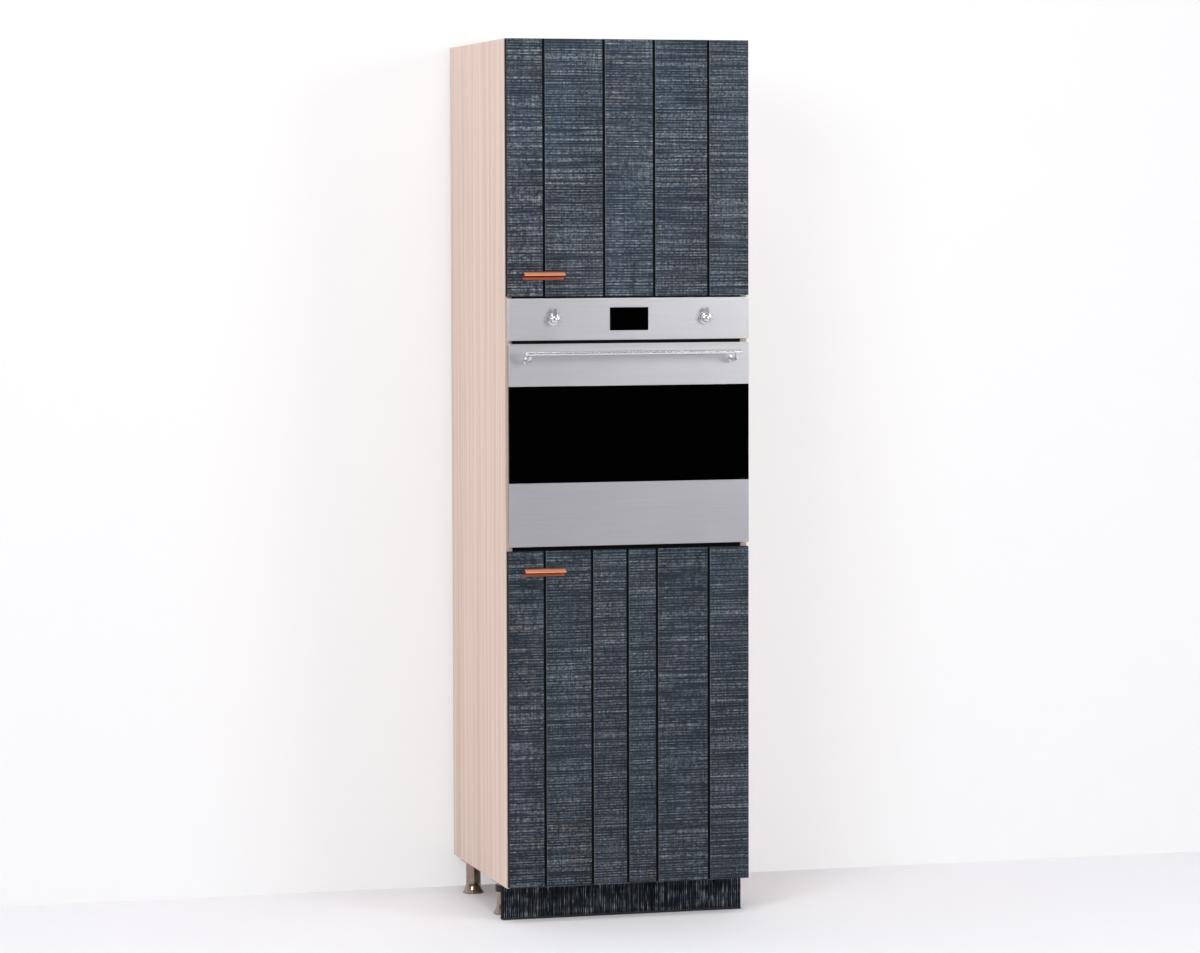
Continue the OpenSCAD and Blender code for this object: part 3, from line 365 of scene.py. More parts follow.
def makePlanks(name, look, joints, plankTones, lift, upright=False):
    foot, head = (corner.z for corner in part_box(name))
    material, tree, shader, coords = newFinish(name)
    shader.inputs["Specular IOR Level"].default_value = look["specular"]
    cut = axes(tree, coords.outputs["Object"])
    plank = calc(tree, "ADD", plankTones[0], 0.0)
    arris, groove = calc(tree, "ADD", 0.0, 0.0), calc(tree, "ADD", 0.0, 0.0)
    stained = look["gap"] / 2 + look["stain"]
    halfArris = look["arris"] / 2
    for joint, before, after in zip(joints, plankTones, plankTones[1:]):
        beyond = calc(tree, "GREATER_THAN", cut["X"], joint)
        plank = calc(tree, "ADD", plank, calc(tree, "MULTIPLY", beyond, after - before))
        arris = calc(tree, "ADD", arris, near(tree, cut["X"], joint + stained + halfArris, halfArris))
        groove = calc(tree, "ADD", groove, near(tree, cut["X"], joint, stained))
    vector = turned(tree, coords, (0, math.pi / 2, 0)) if upright else coords.outputs["Object"]
    sawn = useGroup(tree, sawnGroup, vector, Row_Pitch=look["rowPitch"], Dash_Length=look["dashLength"])
    tree.links.new(plank, sawn["Streak"].node.inputs["Plank"])
    dark = blendColour(tree, remap(tree, sawn["Patch"], *tones), look["deep"], look["body"])
    hueSpot = stretched(tree, coords.outputs["Object"], look["hueCells"])
    hue = noiseOn(tree, hueSpot, detail=1.0, roughness=0.5)
    height = remap(tree, cut["Z"], foot, head, 0.0, look["fade"])      # the tint grows with the height
    teal = calc(tree, "ADD", remap(tree, hue, *look["hues"], 0.0, look["hueAmount"]), height, clamp=True)
    tinted = blendColour(tree, teal, dark, look["teal"])
    # a pale line along one side of each joint
    arrisLined = blendColour(tree, calc(tree, "MULTIPLY", arris, look["arrisTone"]), tinted, look["chalk"])
    strokeTone = blendColour(tree, sawn["Fleck"], look["chalk"], look["warm"])
    stroke = calc(tree, "POWER", sawn["Streak"], look["contrast"])
    streaked = blendColour(tree, calc(tree, "MULTIPLY", stroke, look["strokes"]), arrisLined, strokeTone)
    toned = addNode(tree, "ShaderNodeHueSaturation")
    tree.links.new(streaked, toned.inputs["Color"])
    spread = look["toneSpread"]
    tree.links.new(remap(tree, plank, 0.0, 1.0, lift * (1 - spread), lift * (1 + spread)),
                   toned.inputs["Value"])
    facing = axes(tree, coords.outputs["Normal"])   # only the face has the finish, the edges are black
    isFace = calc(tree, "MULTIPLY", calc(tree, "LESS_THAN", facing["Y"], -look["faceOn"]),
                  calc(tree, "SUBTRACT", 1.0, groove))
    setColour(tree, shader, blendColour(tree, isFace, look["edge"], toned.outputs[0]))
    tree.links.new(remap(tree, sawn["Streak"], 0.0, 1.0, *look["roughness"]), shader.inputs["Roughness"])
    addBump(tree, shader, sawn["Height"], look["bump"], look["bumpDepth"])
    return material


# Board behind the planks: black edges and front, a dark grained laminate inside the door
doorBackLook = {"light": shade(62, 61, 64), "dark": shade(46, 45, 48), "black": shade(5, 5, 6),
                "fineness": 620.0, "length": 5.0, "grain": (0.3, 0.7), "faceOn": 0.6,
                "edgeRoughness": 0.9, "roughness": 0.48, "specular": 0.25,
                "wearScale": 7.0, "bump": 0.1, "bumpDepth": 0.0002}


def makeDoorBoard():
    look = doorBackLook
    material, tree, shader, coords = newFinish("doorBoard")
    shader.inputs["Specular IOR Level"].default_value = look["specular"]
    grain = useGroup(tree, grainGroup, turned(tree, coords, grainUp), Fineness=look["fineness"],
                     Length=look["length"])
    wear = useGroup(tree, wearGroup, coords.outputs["Object"], Scale=look["wearScale"])
    inside = calc(tree, "GREATER_THAN", axes(tree, coords.outputs["Normal"])["Y"], look["faceOn"])
    tone = blendColour(tree, remap(tree, grain["Fine"], *look["grain"]), look["dark"], look["light"])
    setColour(tree, shader, blendColour(tree, inside, look["black"], tone))
    tree.links.new(remap(tree, inside, 0.0, 1.0, look["edgeRoughness"], look["roughness"]),
                   shader.inputs["Roughness"])
    addBump(tree, shader, calc(tree, "MULTIPLY", wear["Cloud"], grain["Fine"]), look["bump"],
            look["bumpDepth"])
    return material


# Metals and plain finishes share one maker: a tone that varies, brush lines or clouds, and gloss
brushLook = {"length": 6.0, "gloss": 0.12, "bump": 0.08, "depth": 0.0001}
cloudDepth = 0.0002


def metalParts(name, light, dark, roughness, brush=None, metallic=1.0, wear=0.12, bump=0.02,
               cloudScale=14.0, specular=0.5):
    material, tree, shader, coords = newFinish(name)
    shader.inputs["Metallic"].default_value = metallic
    shader.inputs["Specular IOR Level"].default_value = specular
    clouds = useGroup(tree, wearGroup, coords.outputs["Object"], Scale=cloudScale, Amount=wear,
                      Level=roughness)
    if brush:
        grain = useGroup(tree, grainGroup, coords.outputs["Object"], Fineness=brush,
                         Length=brushLook["length"])["Fine"]
        tone = remap(tree, grain, *tones)
        addBump(tree, shader, grain, brushLook["bump"], brushLook["depth"])
        rough = calc(tree, "MULTIPLY_ADD", grain, brushLook["gloss"], clouds["Roughness"])
    else:
        tone = remap(tree, clouds["Cloud"], *tones)
        addBump(tree, shader, clouds["Cloud"], bump, cloudDepth)
        rough = clouds["Roughness"]
    tree.links.new(rough, shader.inputs["Roughness"])
    setColour(tree, shader, blendColour(tree, tone, dark, light))
    return material, tree, shader, coords


def makeMetal(name, **look):
    return metalParts(name, **look)[0]


def colourOf(shader):                           # what is linked to the base colour so far
    return shader.inputs["Base Color"].links[0].from_socket


# Brushed steel of the panel and the upper band, with a painted highlight on the upward-facing top folds
steelLook = {"light": shade(197, 197, 200), "dark": shade(188, 188, 192), "roughness": 0.34,
             "brush": 1500.0, "metallic": 0.85}
foldHighlightLook = {"tone": shade(252, 252, 254), "from": 0.1, "to": 0.6}


def makeSteelFront():
    material, tree, shader, coords = metalParts("steelFront", **steelLook)
    up = axes(tree, coords.outputs["Normal"])["Z"]
    # painted highlight: faces that turn upward are lightened, standing in for the light they catch from
    # above
    bright = remap(tree, up, foldHighlightLook["from"], foldHighlightLook["to"])
    setColour(tree, shader, blendColour(tree, bright, colourOf(shader), foldHighlightLook["tone"]))
    return material


# Brushed copper with painted light: painted shade toward the door under the lip, a lighter band where the
# plate is lit below it, and dark painted shade on the cut ends
copperMetal = {"light": shade(246, 172, 138), "dark": shade(234, 154, 120), "roughness": 0.42,
               "brush": 1200.0, "metallic": 0.5}
copperLook = {"lipShadow": shade(96, 40, 24), "plate": shade(168, 86, 54), "cut": shade(40, 20, 14),
              "lipShadowFrom": 0.012, "lipShadowTo": 0.004, "foot": 0.0055, "endOn": 0.8}


def makeCopper():
    look = copperLook
    material, tree, shader, coords = metalParts("copperBrushed", **copperMetal)
    cut, facing = axes(tree, coords.outputs["Object"]), axes(tree, coords.outputs["Normal"])
    # painted shade: darker toward the door, standing in for the lip's shadow on the plate
    lipShadowMask = remap(tree, cut["Y"], doorFace - look["lipShadowFrom"], doorFace - look["lipShadowTo"])
    colour = blendColour(tree, lipShadowMask, colourOf(shader), look["lipShadow"])
    for name in ("upper_door_pull", "lower_door_pull"):        # painted light: the foot of each pull is lighter, as if lit below the lip's painted shadow
        foot = near(tree, cut["Z"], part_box(name)[0].z, look["foot"])
        colour = blendColour(tree, foot, colour, look["plate"])
    # painted shade: the end faces are dark, standing in for the shaded gap under the lip
    isEnd = calc(tree, "GREATER_THAN", calc(tree, "ABSOLUTE", facing["X"]), look["endOn"])
    setColour(tree, shader, blendColour(tree, isEnd, colour, look["cut"]))
    return material


# Oven enamel: a dark glaze with fine pale speckles
glazeLook = {"light": shade(52, 54, 62), "dark": shade(40, 42, 50), "roughness": 0.22,
             "metallic": 0.0, "wear": 0.1}
speckLook = {"tone": shade(150, 152, 160), "scale": 420.0, "size": (0.16, 0.24), "amount": 0.6}


def makeEnamel():
    material, tree, shader, coords = metalParts("ovenEnamel", **glazeLook)
    spots = addNode(tree, "ShaderNodeTexVoronoi")
    setInputs(spots, Scale=speckLook["scale"])
    tree.links.new(coords.outputs["Object"], spots.inputs["Vector"])
    speck = remap(tree, spots.outputs["Distance"], *speckLook["size"], speckLook["amount"], 0.0)
    setColour(tree, shader, blendColour(tree, speck, colourOf(shader), speckLook["tone"]))
    return material


# Printed glass: black, with faint smears in its gloss
smears = {"metallic": 0.0, "wear": 0.05, "bump": 0.0, "cloudScale": 5.0}
innerBorder = {"halfWidth": 0.205, "halfHeight": 0.13, "middle": 1.15, "dots": 260.0, "dotSize": 0.012,
               "fade": (-0.004, -0.003), "print": shade(4, 4, 5)}


def makeGlass(name, tint, roughness, specular, border=None):
    material, tree, shader, coords = metalParts(name, tint, tint, roughness, specular=specular, **smears)
    if border:                                  # printed edge round the clear middle, dotted where it fades
        cut = axes(tree, coords.outputs["Object"])
        above = calc(tree, "ABSOLUTE", calc(tree, "SUBTRACT", cut["Z"], border["middle"]))
        x = calc(tree, "SUBTRACT", calc(tree, "ABSOLUTE", cut["X"]), border["halfWidth"])
        z = calc(tree, "SUBTRACT", above, border["halfHeight"])
        dots = addNode(tree, "ShaderNodeTexVoronoi")
        setInputs(dots, Scale=border["dots"], Randomness=0.0)
        tree.links.new(coords.outputs["Object"], dots.inputs["Vector"])
        reach = calc(tree, "MULTIPLY_ADD", dots.outputs["Distance"], -border["dotSize"],
                     calc(tree, "MAXIMUM", x, z))
        printed = remap(tree, reach, *border["fade"])
        setColour(tree, shader, blendColour(tree, printed, tint, border["print"]))
    return material


upperDoor = {"joints": [-0.20895, -0.0610, 0.0630, 0.1980], "plankTones": [0.45, 0.38, 0.85, 0.55, 0.6],
             "lift": 0.84}
lowerDoor = {"joints": [-0.2100, -0.0930, -0.0050, 0.0680, 0.1980],
             "plankTones": [0.4, 0.55, 0.7, 0.48, 0.35, 0.6], "lift": 0.67}
plainLooks = {
    # painted shade: a darker copy of the front steel for the bottom band, which gets less light lower down
    "steelLowerShaded": {"light": shade(182, 180, 186), "dark": shade(173, 171, 178), "roughness": 0.36,
                   "brush": 1500.0, "metallic": 0.85},
    "barSteel": {"light": shade(226, 226, 230), "dark": shade(214, 214, 218), "roughness": 0.19,
                 "brush": 900.0},
    # the warm pink-brown tint is partly nickel's own tone and partly a painted reflection of the pale wood
    # side panels
    "nickelPolish": {"light": shade(164, 146, 134), "dark": shade(142, 124, 113), "roughness": 0.15},
    "chromePolish": {"light": shade(226, 226, 230), "dark": shade(212, 212, 216), "roughness": 0.10},
    "knobSteel": {"light": shade(214, 214, 218), "dark": shade(200, 200, 204), "roughness": 0.16,
                  "metallic": 0.8},
    "zincPlate": {"light": shade(196, 198, 202), "dark": shade(168, 171, 176), "roughness": 0.36,
                  "brush": 700.0},
    "blackSheet": {"light": shade(13, 13, 15), "dark": shade(7, 7, 8), "roughness": 0.5,
                   "metallic": 0.0, "specular": 0.15},
    "darkPlastic": {"light": shade(26, 26, 28), "dark": shade(15, 15, 17), "roughness": 0.55,
                    "metallic": 0.0},
    "softRubber": {"light": shade(34, 34, 35), "dark": shade(22, 22, 23), "roughness": 0.75,
                   "metallic": 0.0},
    "heaterRod": {"light": shade(92, 88, 86), "dark": shade(58, 55, 54), "roughness": 0.5, "wear": 0.3},
}
made = {
    "boardUpright": makeBoard("boardUpright", grainUp, bareTop=True),
    "boardAcross": makeBoard("boardAcross", grainAcross),
    "ovenShelfBoard": makeBoard("ovenShelfBoard", grainAcross, paintedShadeFront=True),
    "backSheet": makeBoard("backSheet", grainUp, bareBack=shade(158, 124, 90)),
    "upperPlanks": makePlanks("upper_door_planks", plankLook, **upperDoor),
    "lowerPlanks": makePlanks("lower_door_planks", plankLook, **lowerDoor),
    "plinthFinish": makePlanks("plinth_board", plinthLook, [], [0.5], 1.0, upright=True),
    "doorBoard": makeDoorBoard(),
    "steelFront": makeSteelFront(),
    "copperBrushed": makeCopper(),
    "ovenEnamel": makeEnamel(),
    "lampCover": makeGlass("lampCover", shade(232, 228, 212), 0.2, 0.6),
    "blackGlass": makeGlass("blackGlass", shade(1, 1, 1), 0.06, 0.02),
    "innerGlass": makeGlass("innerGlass", shade(22, 22, 24), 0.05, 0.5, innerBorder),
}
for name, look in plainLooks.items():
    made[name] = makeMetal(name, **look)

finishes = {
    "boardUpright": ["left_side_panel", "right_side_panel"],
    "boardAcross": ["top_panel", "bottom_panel", "oven_top_shelf", "rear_rails", "upper_shelf",
                    "lower_shelf"],
    "ovenShelfBoard": ["oven_shelf"],
    "backSheet": ["upper_back_panel", "lower_back_panel"],
    "upperPlanks": ["upper_door_planks"],
    "lowerPlanks": ["lower_door_planks"],
    "plinthFinish": ["plinth_board"],
    "doorBoard": ["upper_door_board", "lower_door_board"],
    "steelFront": ["control_panel", "oven_door_top_band"],
    "steelLowerShaded": ["oven_door_bottom_band"],
    "barSteel": ["oven_door_handle"],
    "copperBrushed": ["upper_door_pull", "lower_door_pull"],
    "nickelPolish": ["legs", "front_left_foot", "front_right_foot", "rear_left_foot", "rear_right_foot"],
    "chromePolish": ["rack_guides", "wire_rack"],
    "knobSteel": ["temperature_knob", "function_knob"],
    "zincPlate": ["shelf_pins", "wall_brackets", "cabinet_hinge_arms", "upper_hinge_cups",
                  "lower_hinge_cups", "upper_inner_links", "lower_inner_links", "upper_outer_links",
                  "lower_outer_links", "oven_casing", "oven_rear_cover", "fan_motor",
                  "oven_hinge_arms", "oven_fan", "oven_door_hinge_pins"],
    "blackSheet": ["oven_front_frame", "oven_door_frame"],
    "darkPlastic": ["plinth_seal", "plinth_clips"],
    "softRubber": ["door_bumpers", "oven_gasket"],
    "heaterRod": ["heating_elements"],
    "ovenEnamel": ["oven_cavity_liner", "baking_tray", "fan_cover"],
    "lampCover": ["oven_lamp"],
    "blackGlass": ["display_window", "oven_door_outer_glass"],
    "innerGlass": ["oven_door_inner_glass"],
}
finishOf = {name: finish for finish, names in finishes.items() for name in names}
for name, obj in nodes.items():
    obj.data.materials.clear()
    obj.data.materials.append(made[finishOf[name]])
print("finishes on all nodes")


# Camera, light and stage

cameraLook = {"place": (-2.6364, -9.4539, 1.6831), "yaw": 15.172, "pitch": 3.577, "roll": -0.16,
              "focalPixels": 4106.8, "imageWidth": 1200, "sensor": 36, "farthest": 100}


def makeCamera():
    yaw, pitch, roll = (math.radians(cameraLook[k]) for k in ("yaw", "pitch", "roll"))
    forward = Vector((math.sin(yaw) * math.cos(pitch), math.cos(yaw) * math.cos(pitch),
                      -math.sin(pitch)))
    right = forward.cross(Vector((0, 0, 1))).normalized()
    up = right.cross(forward)
    rightRolled = right * math.cos(roll) + up * math.sin(roll)
    upRolled = up * math.cos(roll) - right * math.sin(roll)
    data = bpy.data.cameras.new("camera")
    data.sensor_width = cameraLook["sensor"]
    data.sensor_fit = "HORIZONTAL"
    data.lens = cameraLook["sensor"] * cameraLook["focalPixels"] / cameraLook["imageWidth"]
    data.clip_end = cameraLook["farthest"]
    camera = bpy.data.objects.new("camera", data)
    turn = Matrix((rightRolled, upRolled, -forward)).transposed().to_4x4()
    x, y, z = cameraLook["place"]               # y counts from the face of the doors
    camera.matrix_world = Matrix.Translation((x, y + doorFace, z)) @ turn
    bpy.context.scene.collection.objects.link(camera)
    bpy.context.scene.camera = camera


lights = {
    "key": {"place": (-3.3, -4.6, 3.3), "aim": (0, 0, 1.1), "size": 2.0, "power": 122},
    "fill": {"place": (2.5, -3.9, 2.35), "aim": (0.1, -0.3, 1.3), "size": 1.6, "power": 70},
    "top": {"place": (-0.5, -1.7, 4.4), "aim": (0, -0.2, 1.2), "size": 1.6, "power": 42},
    "back": {"place": (2.4, 4.2, 3.2), "aim": (0, 0, 1.2), "size": 2.4, "power": 70},
}


def makeLights():
    for name, look in lights.items():
        data = bpy.data.lights.new(name, "AREA")
        data.size = look["size"]
        data.energy = look["power"]
        lamp = bpy.data.objects.new(name, data)
        place = Vector(look["place"])
        turn = (Vector(look["aim"]) - place).to_track_quat("-Z", "Y").to_matrix().to_4x4()
        lamp.matrix_world = Matrix.Translation(place) @ turn
        bpy.context.scene.collection.objects.link(lamp)


# Pale sky, brighter overhead, with a darker room in front. The camera sees plain white
skyLook = {"low": 0.32, "high": 0.80, "rise": (0.2, 0.95), "room": 0.45, "roomEnds": (-0.9, -0.3),
           "seen": 1.0}
white = (1, 1, 1, 1)


def makeWorld():
    world = bpy.data.worlds.new("studio")
    bpy.context.scene.world = world
    world.use_nodes = True
    tree = world.node_tree
    plain = setInputs(tree.nodes["Background"], Color=white)
    cut = axes(tree, addNode(tree, "ShaderNodeTexCoord").outputs["Generated"])
    sky = remap(tree, cut["Z"], *skyLook["rise"], skyLook["low"], skyLook["high"])
    room = remap(tree, cut["Y"], *skyLook["roomEnds"], skyLook["room"], 1.0)
    tree.links.new(calc(tree, "MULTIPLY", sky, room), plain.inputs["Strength"])
    seen = setInputs(addNode(tree, "ShaderNodeBackground"), Color=white, Strength=skyLook["seen"])
    path = addNode(tree, "ShaderNodeLightPath")
    mixed = mixShaders(tree, path.outputs["Is Camera Ray"], plain, seen)
    tree.links.new(mixed.outputs[0], tree.nodes["World Output"].inputs["Surface"])


stageLook = {"floor": shade(234, 234, 238), "wall": shade(240, 239, 241), "wallGap": 0.02,
             "floorGlow": 0.08, "wallGlow": 0.45, "roughness": 0.8, "reach": 9,
             "openHalf": 0.33, "openLow": 0.1, "openHigh": 2.14}


def makeStageFinish(name, colour, glow):        # part of the brightness is seen only, it lights nothing
    material, tree, shader, coords = newFinish(name)
    setInputs(shader, Base_Color=colour, Roughness=stageLook["roughness"])
    shine = setInputs(addNode(tree, "ShaderNodeEmission"), Color=white, Strength=1.0)
    path = addNode(tree, "ShaderNodeLightPath")
    through = calc(tree, "MAXIMUM", path.outputs["Is Glossy Ray"], path.outputs["Is Transmission Ray"])
    seen = calc(tree, "MAXIMUM", path.outputs["Is Camera Ray"], through)
    lit = mixShaders(tree, calc(tree, "MULTIPLY", seen, glow), shader, shine)
    tree.links.new(lit.outputs[0], tree.nodes["Material Output"].inputs["Surface"])
    return material, tree, coords, lit, seen


def openBehindUnit(tree, coords, lit, seen):    # seen from the front only, lets light in behind the unit
    clear = addNode(tree, "ShaderNodeBsdfTransparent")
    front = calc(tree, "SUBTRACT", 1.0, addNode(tree, "ShaderNodeNewGeometry").outputs["Backfacing"])
    cut = axes(tree, coords.outputs["Object"])
    beside = calc(tree, "GREATER_THAN", calc(tree, "ABSOLUTE", cut["X"]), stageLook["openHalf"])
    under = calc(tree, "LESS_THAN", cut["Z"], stageLook["openLow"])
    over = calc(tree, "GREATER_THAN", cut["Z"], stageLook["openHigh"])
    off = calc(tree, "MAXIMUM", beside, calc(tree, "MAXIMUM", under, over))
    shut = calc(tree, "MULTIPLY", calc(tree, "MAXIMUM", seen, off), front)
    mixed = mixShaders(tree, shut, clear, lit)
    tree.links.new(mixed.outputs[0], tree.nodes["Material Output"].inputs["Surface"])


def makeStage():
    r = stageLook["reach"]
    floorFinish = makeStageFinish("stageFloor", stageLook["floor"], stageLook["floorGlow"])[0]
    floor = meshObject("floor", [(-r, -r, 0), (r, -r, 0), (r, r, 0), (-r, r, 0)], [(0, 1, 2, 3)],
                       floorFinish)
    wallFinish, *parts = makeStageFinish("stageWall", stageLook["wall"], stageLook["wallGlow"])
    openBehindUnit(*parts)
    y = cadBox[1][1] + stageLook["wallGap"]
    wall = meshObject("wall", [(-r, y, 0), (r, y, 0), (r, y, r), (-r, y, r)], [(0, 1, 2, 3)],
                      wallFinish)
    bpy.context.scene.view_settings.view_transform = "Standard"


makeCamera()
makeLights()
makeWorld()
makeStage()
print("camera, light and stage ready")


# Eased edges on the boards and bands

easedEdges = {"left_side_panel": 0.0007, "right_side_panel": 0.0007, "control_panel": 0.003,
              "oven_door_top_band": 0.0009, "oven_door_bottom_band": 0.0009, "upper_door_pull": 0.0003,
              "lower_door_pull": 0.0003, "plinth_board": 0.0006, "upper_shelf": 0.0006,
              "lower_shelf": 0.0006}
edgeLook = {"weld": 0.00001, "segments": 2, "sharpFrom": 40}
for name, width in easedEdges.items():
    weld = nodes[name].modifiers.new("weld", "WELD")
    weld.merge_threshold = edgeLook["weld"]
    bevel = nodes[name].modifiers.new("bevel", "BEVEL")
    bevel.width = width
    bevel.segments = edgeLook["segments"]
    bevel.limit_method = "ANGLE"
    bevel.angle_limit = math.radians(edgeLook["sharpFrom"])
print("edges eased")


# Node trees that set small repeated pieces

def newGeometryTree(name, inputs):
    tree = bpy.data.node_groups.new(name, "GeometryNodeTree")
    for label, kind in [("Geometry", "Geometry")] + inputs:
        tree.interface.new_socket(name=label, in_out="INPUT", socket_type="NodeSocket" + kind)
    tree.interface.new_socket(name="Geometry", in_out="OUTPUT", socket_type="NodeSocketGeometry")
    return tree, addNode(tree, "NodeGroupInput"), addNode(tree, "NodeGroupOutput")


# Sets the tree's inputs by their names, bakes the result and gives it its body
def buildWith(obj, tree, body, slot, **values):
    modifier = obj.modifiers.new(tree.name, "NODES")
    modifier.node_group = tree
    for item in tree.interface.items_tree:
        label = item.name.replace(" ", "_")
        if item.in_out == "INPUT" and label in values:
            modifier[item.identifier] = values[label]
    applyModifiers(obj)
    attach(obj, body)


# Screws with a pan head of radius 1 and a cross recess, scaled to size where they are set
screwLook = {"segments": 12, "start": 15, "slotLength": 0.55, "slotWidth": 0.147, "top": 0.66,
             "depth": 0.35, "profile": ((1.0, -0.1), (1.0, 0.25), (0.86, 0.5), (0.66, 0.62))}


def makeScrewHead():
    n = screwLook["segments"]
    angles = [math.radians(screwLook["start"] + 360 / n * i) for i in range(n)]
    rings = [[(r * math.cos(a), r * math.sin(a), z) for a in angles] for r, z in screwLook["profile"]]
    long, wide = screwLook["slotLength"], screwLook["slotWidth"]
    corner = [(long, wide), (wide, wide), (wide, long)]
    cross = []
    for turn in range(4):
        c, s = math.cos(turn * math.pi / 2), math.sin(turn * math.pi / 2)
        cross += [(x * c - y * s, x * s + y * c) for x, y in corner]
    bottom = screwLook["top"] - screwLook["depth"]
    rings += [[(x, y, z) for x, y in cross] for z in (screwLook["top"], bottom)]
    verts = [v for ring in rings for v in ring]
    faces = [(i + k * n, (i + 1) % n + k * n, (i + 1) % n + (k + 1) * n, i + (k + 1) * n)
             for k in range(len(rings) - 1) for i in range(n)]
    faces.append(tuple(range((len(rings) - 1) * n, len(rings) * n)))
    faces.append(tuple(reversed(range(n))))
    head = meshObject("screwHead", verts, faces, made["zincPlate"])
    head.hide_render = True
    return head


def makeScrewTree():
    tree, inp, out = newGeometryTree("setScrews", [("Head", "Object"), ("Head Radius", "Float"),
                                                   ("Finish", "Material")])
    head = addNode(tree, "GeometryNodeObjectInfo")
    facing = addNode(tree, "GeometryNodeInputNamedAttribute", data_type="FLOAT_VECTOR")
    facing.inputs["Name"].default_value = "facing"
    align = addNode(tree, "FunctionNodeAlignRotationToVector", axis="Z")
    place = addNode(tree, "GeometryNodeInstanceOnPoints")
    real = addNode(tree, "GeometryNodeRealizeInstances")
    finish = addNode(tree, "GeometryNodeSetMaterial")
    link = tree.links.new
    link(inp.outputs["Head"], head.inputs["Object"])
    link(inp.outputs["Geometry"], place.inputs["Points"])
    link(head.outputs["Geometry"], place.inputs["Instance"])
    link(facing.outputs["Attribute"], align.inputs["Vector"])
    link(align.outputs["Rotation"], place.inputs["Rotation"])
    link(inp.outputs["Head Radius"], place.inputs["Scale"])
    link(place.outputs["Instances"], real.inputs["Geometry"])
    link(real.outputs["Geometry"], finish.inputs["Geometry"])
    link(inp.outputs["Finish"], finish.inputs["Material"])
    link(finish.outputs["Geometry"], out.inputs["Geometry"])
    return tree


def setScrews(name, body, places, radius, material, slot):
    obj = meshObject(name, [place for place, way in places], [], material)
    facing = obj.data.attributes.new("facing", "FLOAT_VECTOR", "POINT")
    facing.data.foreach_set("vector", [value for place, way in places for value in way])
    buildWith(obj, screwTree, body, slot, Head=screwHead, Head_Radius=radius, Finish=material)


screwHead = makeScrewHead()
screwTree = makeScrewTree()
zincPlate = made["zincPlate"]

hingeHeights = {"upper": (1.6015, 2.0115), "lower": (0.1875, 0.795)}
hingeScrews = {"plateX": 0.281, "plateY": 0.053, "pitch": 0.032, "plateRadius": 0.0034,
               "cupX": 0.2745, "cupReach": 0.0215, "cupRadius": 0.0032}
plateY = frontEdge + hingeScrews["plateY"]
places = [((hingeScrews["plateX"], plateY, z + half * hingeScrews["pitch"]), (-1, 0, 0))
          for heights in hingeHeights.values() for z in heights for half in (-0.5, 0.5)]
setScrews("hingePlateScrews", "carcass", places, hingeScrews["plateRadius"], zincPlate, "zinc")
for door, heights in hingeHeights.items():
    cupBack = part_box(door + "_hinge_cups")[1].y
    places = [((hingeScrews["cupX"], cupBack, z + end * hingeScrews["cupReach"]), (0, 1, 0))
              for z in heights for end in (-1, 1)]
    setScrews(door + "CupScrews", door + "_door", places, hingeScrews["cupRadius"], zincPlate, "zinc")

rearScrews = {"x": 0.266, "depth": 0.03, "inset": 0.02, "radius": 0.0035}
coverLow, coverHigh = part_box("oven_rear_cover")
coverLevels = (coverLow.z + rearScrews["inset"], (coverLow.z + coverHigh.z) / 2,
               coverHigh.z - rearScrews["inset"])
places = [((end * rearScrews["x"], coverLow.y + rearScrews["depth"], z), (0, 1, 0))
          for end in (-1, 1) for z in coverLevels]
setScrews("rearCoverScrews", "carcass", places, rearScrews["radius"], zincPlate, "zinc")

fanScrews = {"x": 0.122, "z": 0.105, "radius": 0.0036}
fanLow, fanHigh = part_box("fan_cover")
fanMiddle = (fanLow.z + fanHigh.z) / 2
places = [((i * fanScrews["x"], fanLow.y, fanMiddle + k * fanScrews["z"]), (0, -1, 0))
          for i in (-1, 1) for k in (-1, 1)]
setScrews("fanCoverScrews", "carcass", places, fanScrews["radius"], made["chromePolish"], "bright_steel")
print("screws set")


# Printed marks round the knobs

dialLook = {"x": 0.18825, "radius": 0.0215, "length": 0.0035, "width": 0.0006, "thick": 0.00012,
            "sweep": 270.0, "counts": {"temperature": 10, "function": 9}}


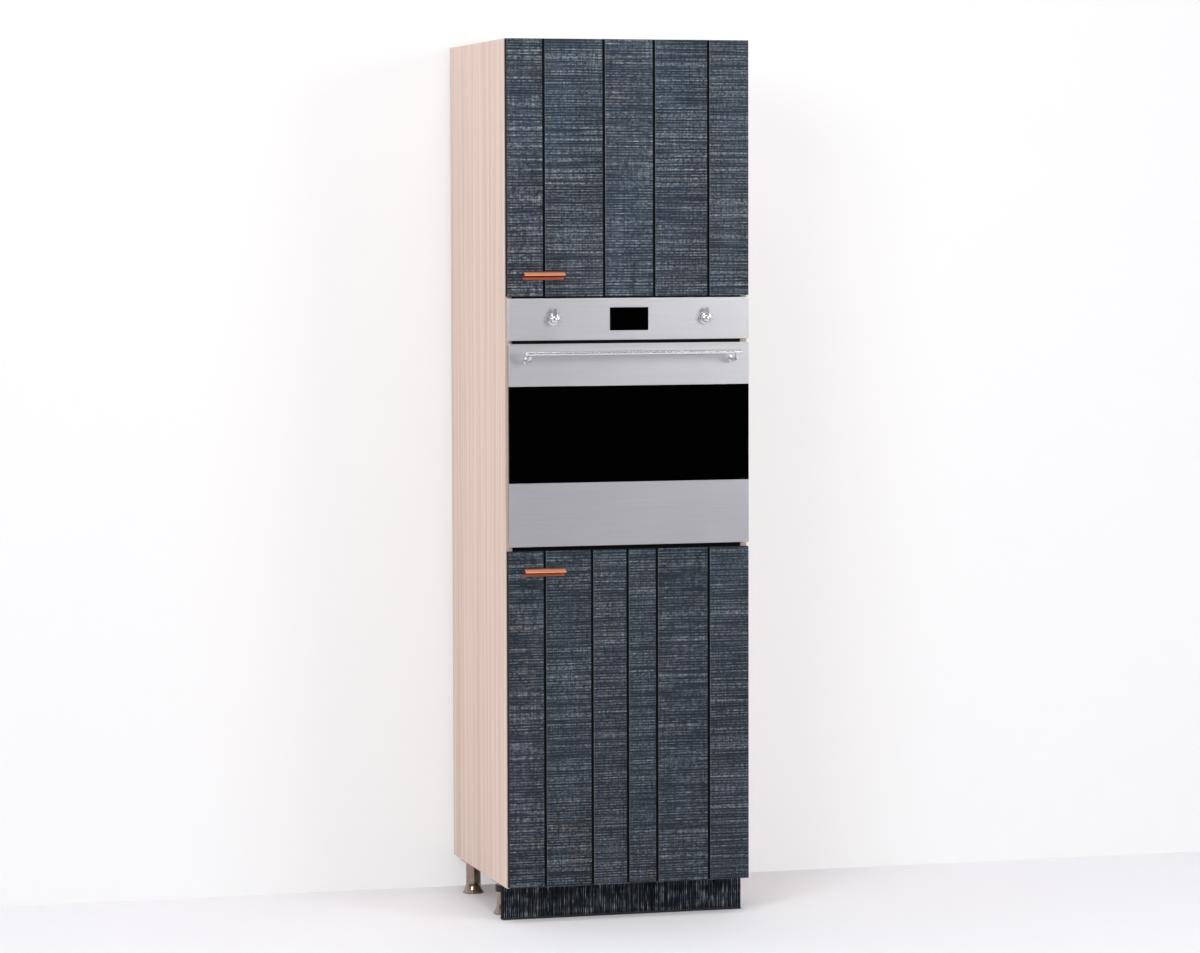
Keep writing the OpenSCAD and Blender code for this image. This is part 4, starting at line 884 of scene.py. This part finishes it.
def makeDialTree():
    tree, inp, out = newGeometryTree("dialMarks", [("Count", "Int"), ("Radius", "Float"),
                                                   ("Sweep", "Float"), ("Mark Size", "Vector"),
                                                   ("Centre", "Vector"), ("Finish", "Material")])
    arc = addNode(tree, "GeometryNodeCurveArc", mode="RADIUS")
    start = addNode(tree, "ShaderNodeMath", operation="MULTIPLY_ADD")
    start.inputs[1].default_value = -0.5        # half the sweep to each side of straight up
    start.inputs[2].default_value = math.pi / 2
    points = addNode(tree, "GeometryNodeCurveToPoints", mode="EVALUATED")
    where = addNode(tree, "GeometryNodeInputPosition")
    align = addNode(tree, "FunctionNodeAlignRotationToVector", axis="Y")
    mark = addNode(tree, "GeometryNodeMeshCube")
    place = addNode(tree, "GeometryNodeInstanceOnPoints")
    real = addNode(tree, "GeometryNodeRealizeInstances")
    stand = addNode(tree, "GeometryNodeTransform")
    stand.inputs["Rotation"].default_value = (math.pi / 2, 0, 0)
    finish = addNode(tree, "GeometryNodeSetMaterial")
    link = tree.links.new
    link(inp.outputs["Count"], arc.inputs["Resolution"])
    link(inp.outputs["Radius"], arc.inputs["Radius"])
    link(inp.outputs["Sweep"], start.inputs[0])
    link(start.outputs[0], arc.inputs["Start Angle"])
    link(inp.outputs["Sweep"], arc.inputs["Sweep Angle"])
    link(arc.outputs["Curve"], points.inputs["Curve"])
    link(where.outputs[0], align.inputs["Vector"])
    link(inp.outputs["Mark Size"], mark.inputs["Size"])
    link(points.outputs["Points"], place.inputs["Points"])
    link(mark.outputs["Mesh"], place.inputs["Instance"])
    link(align.outputs["Rotation"], place.inputs["Rotation"])
    link(place.outputs["Instances"], real.inputs["Geometry"])
    link(real.outputs["Geometry"], stand.inputs["Geometry"])
    link(inp.outputs["Centre"], stand.inputs["Translation"])
    link(stand.outputs["Geometry"], finish.inputs["Geometry"])
    link(inp.outputs["Finish"], finish.inputs["Material"])
    link(finish.outputs["Geometry"], out.inputs["Geometry"])
    return tree


dialTree = makeDialTree()
panelLow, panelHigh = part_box("control_panel")
for knob, count in dialLook["counts"].items():
    x = math.copysign(dialLook["x"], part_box(knob + "_knob")[0].x)
    marks = meshObject(knob + "Marks", [], [], made["darkPlastic"])
    buildWith(marks, dialTree, "carcass", "black_plastic", Count=count, Radius=dialLook["radius"],
              Sweep=math.radians(dialLook["sweep"]),
              Mark_Size=(dialLook["width"], dialLook["length"], dialLook["thick"]),
              Centre=(x, panelLow.y, (panelLow.z + panelHigh.z) / 2), Finish=made["darkPlastic"])
print("dial marks printed")

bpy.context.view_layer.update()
bpy.data.objects.remove(screwHead)
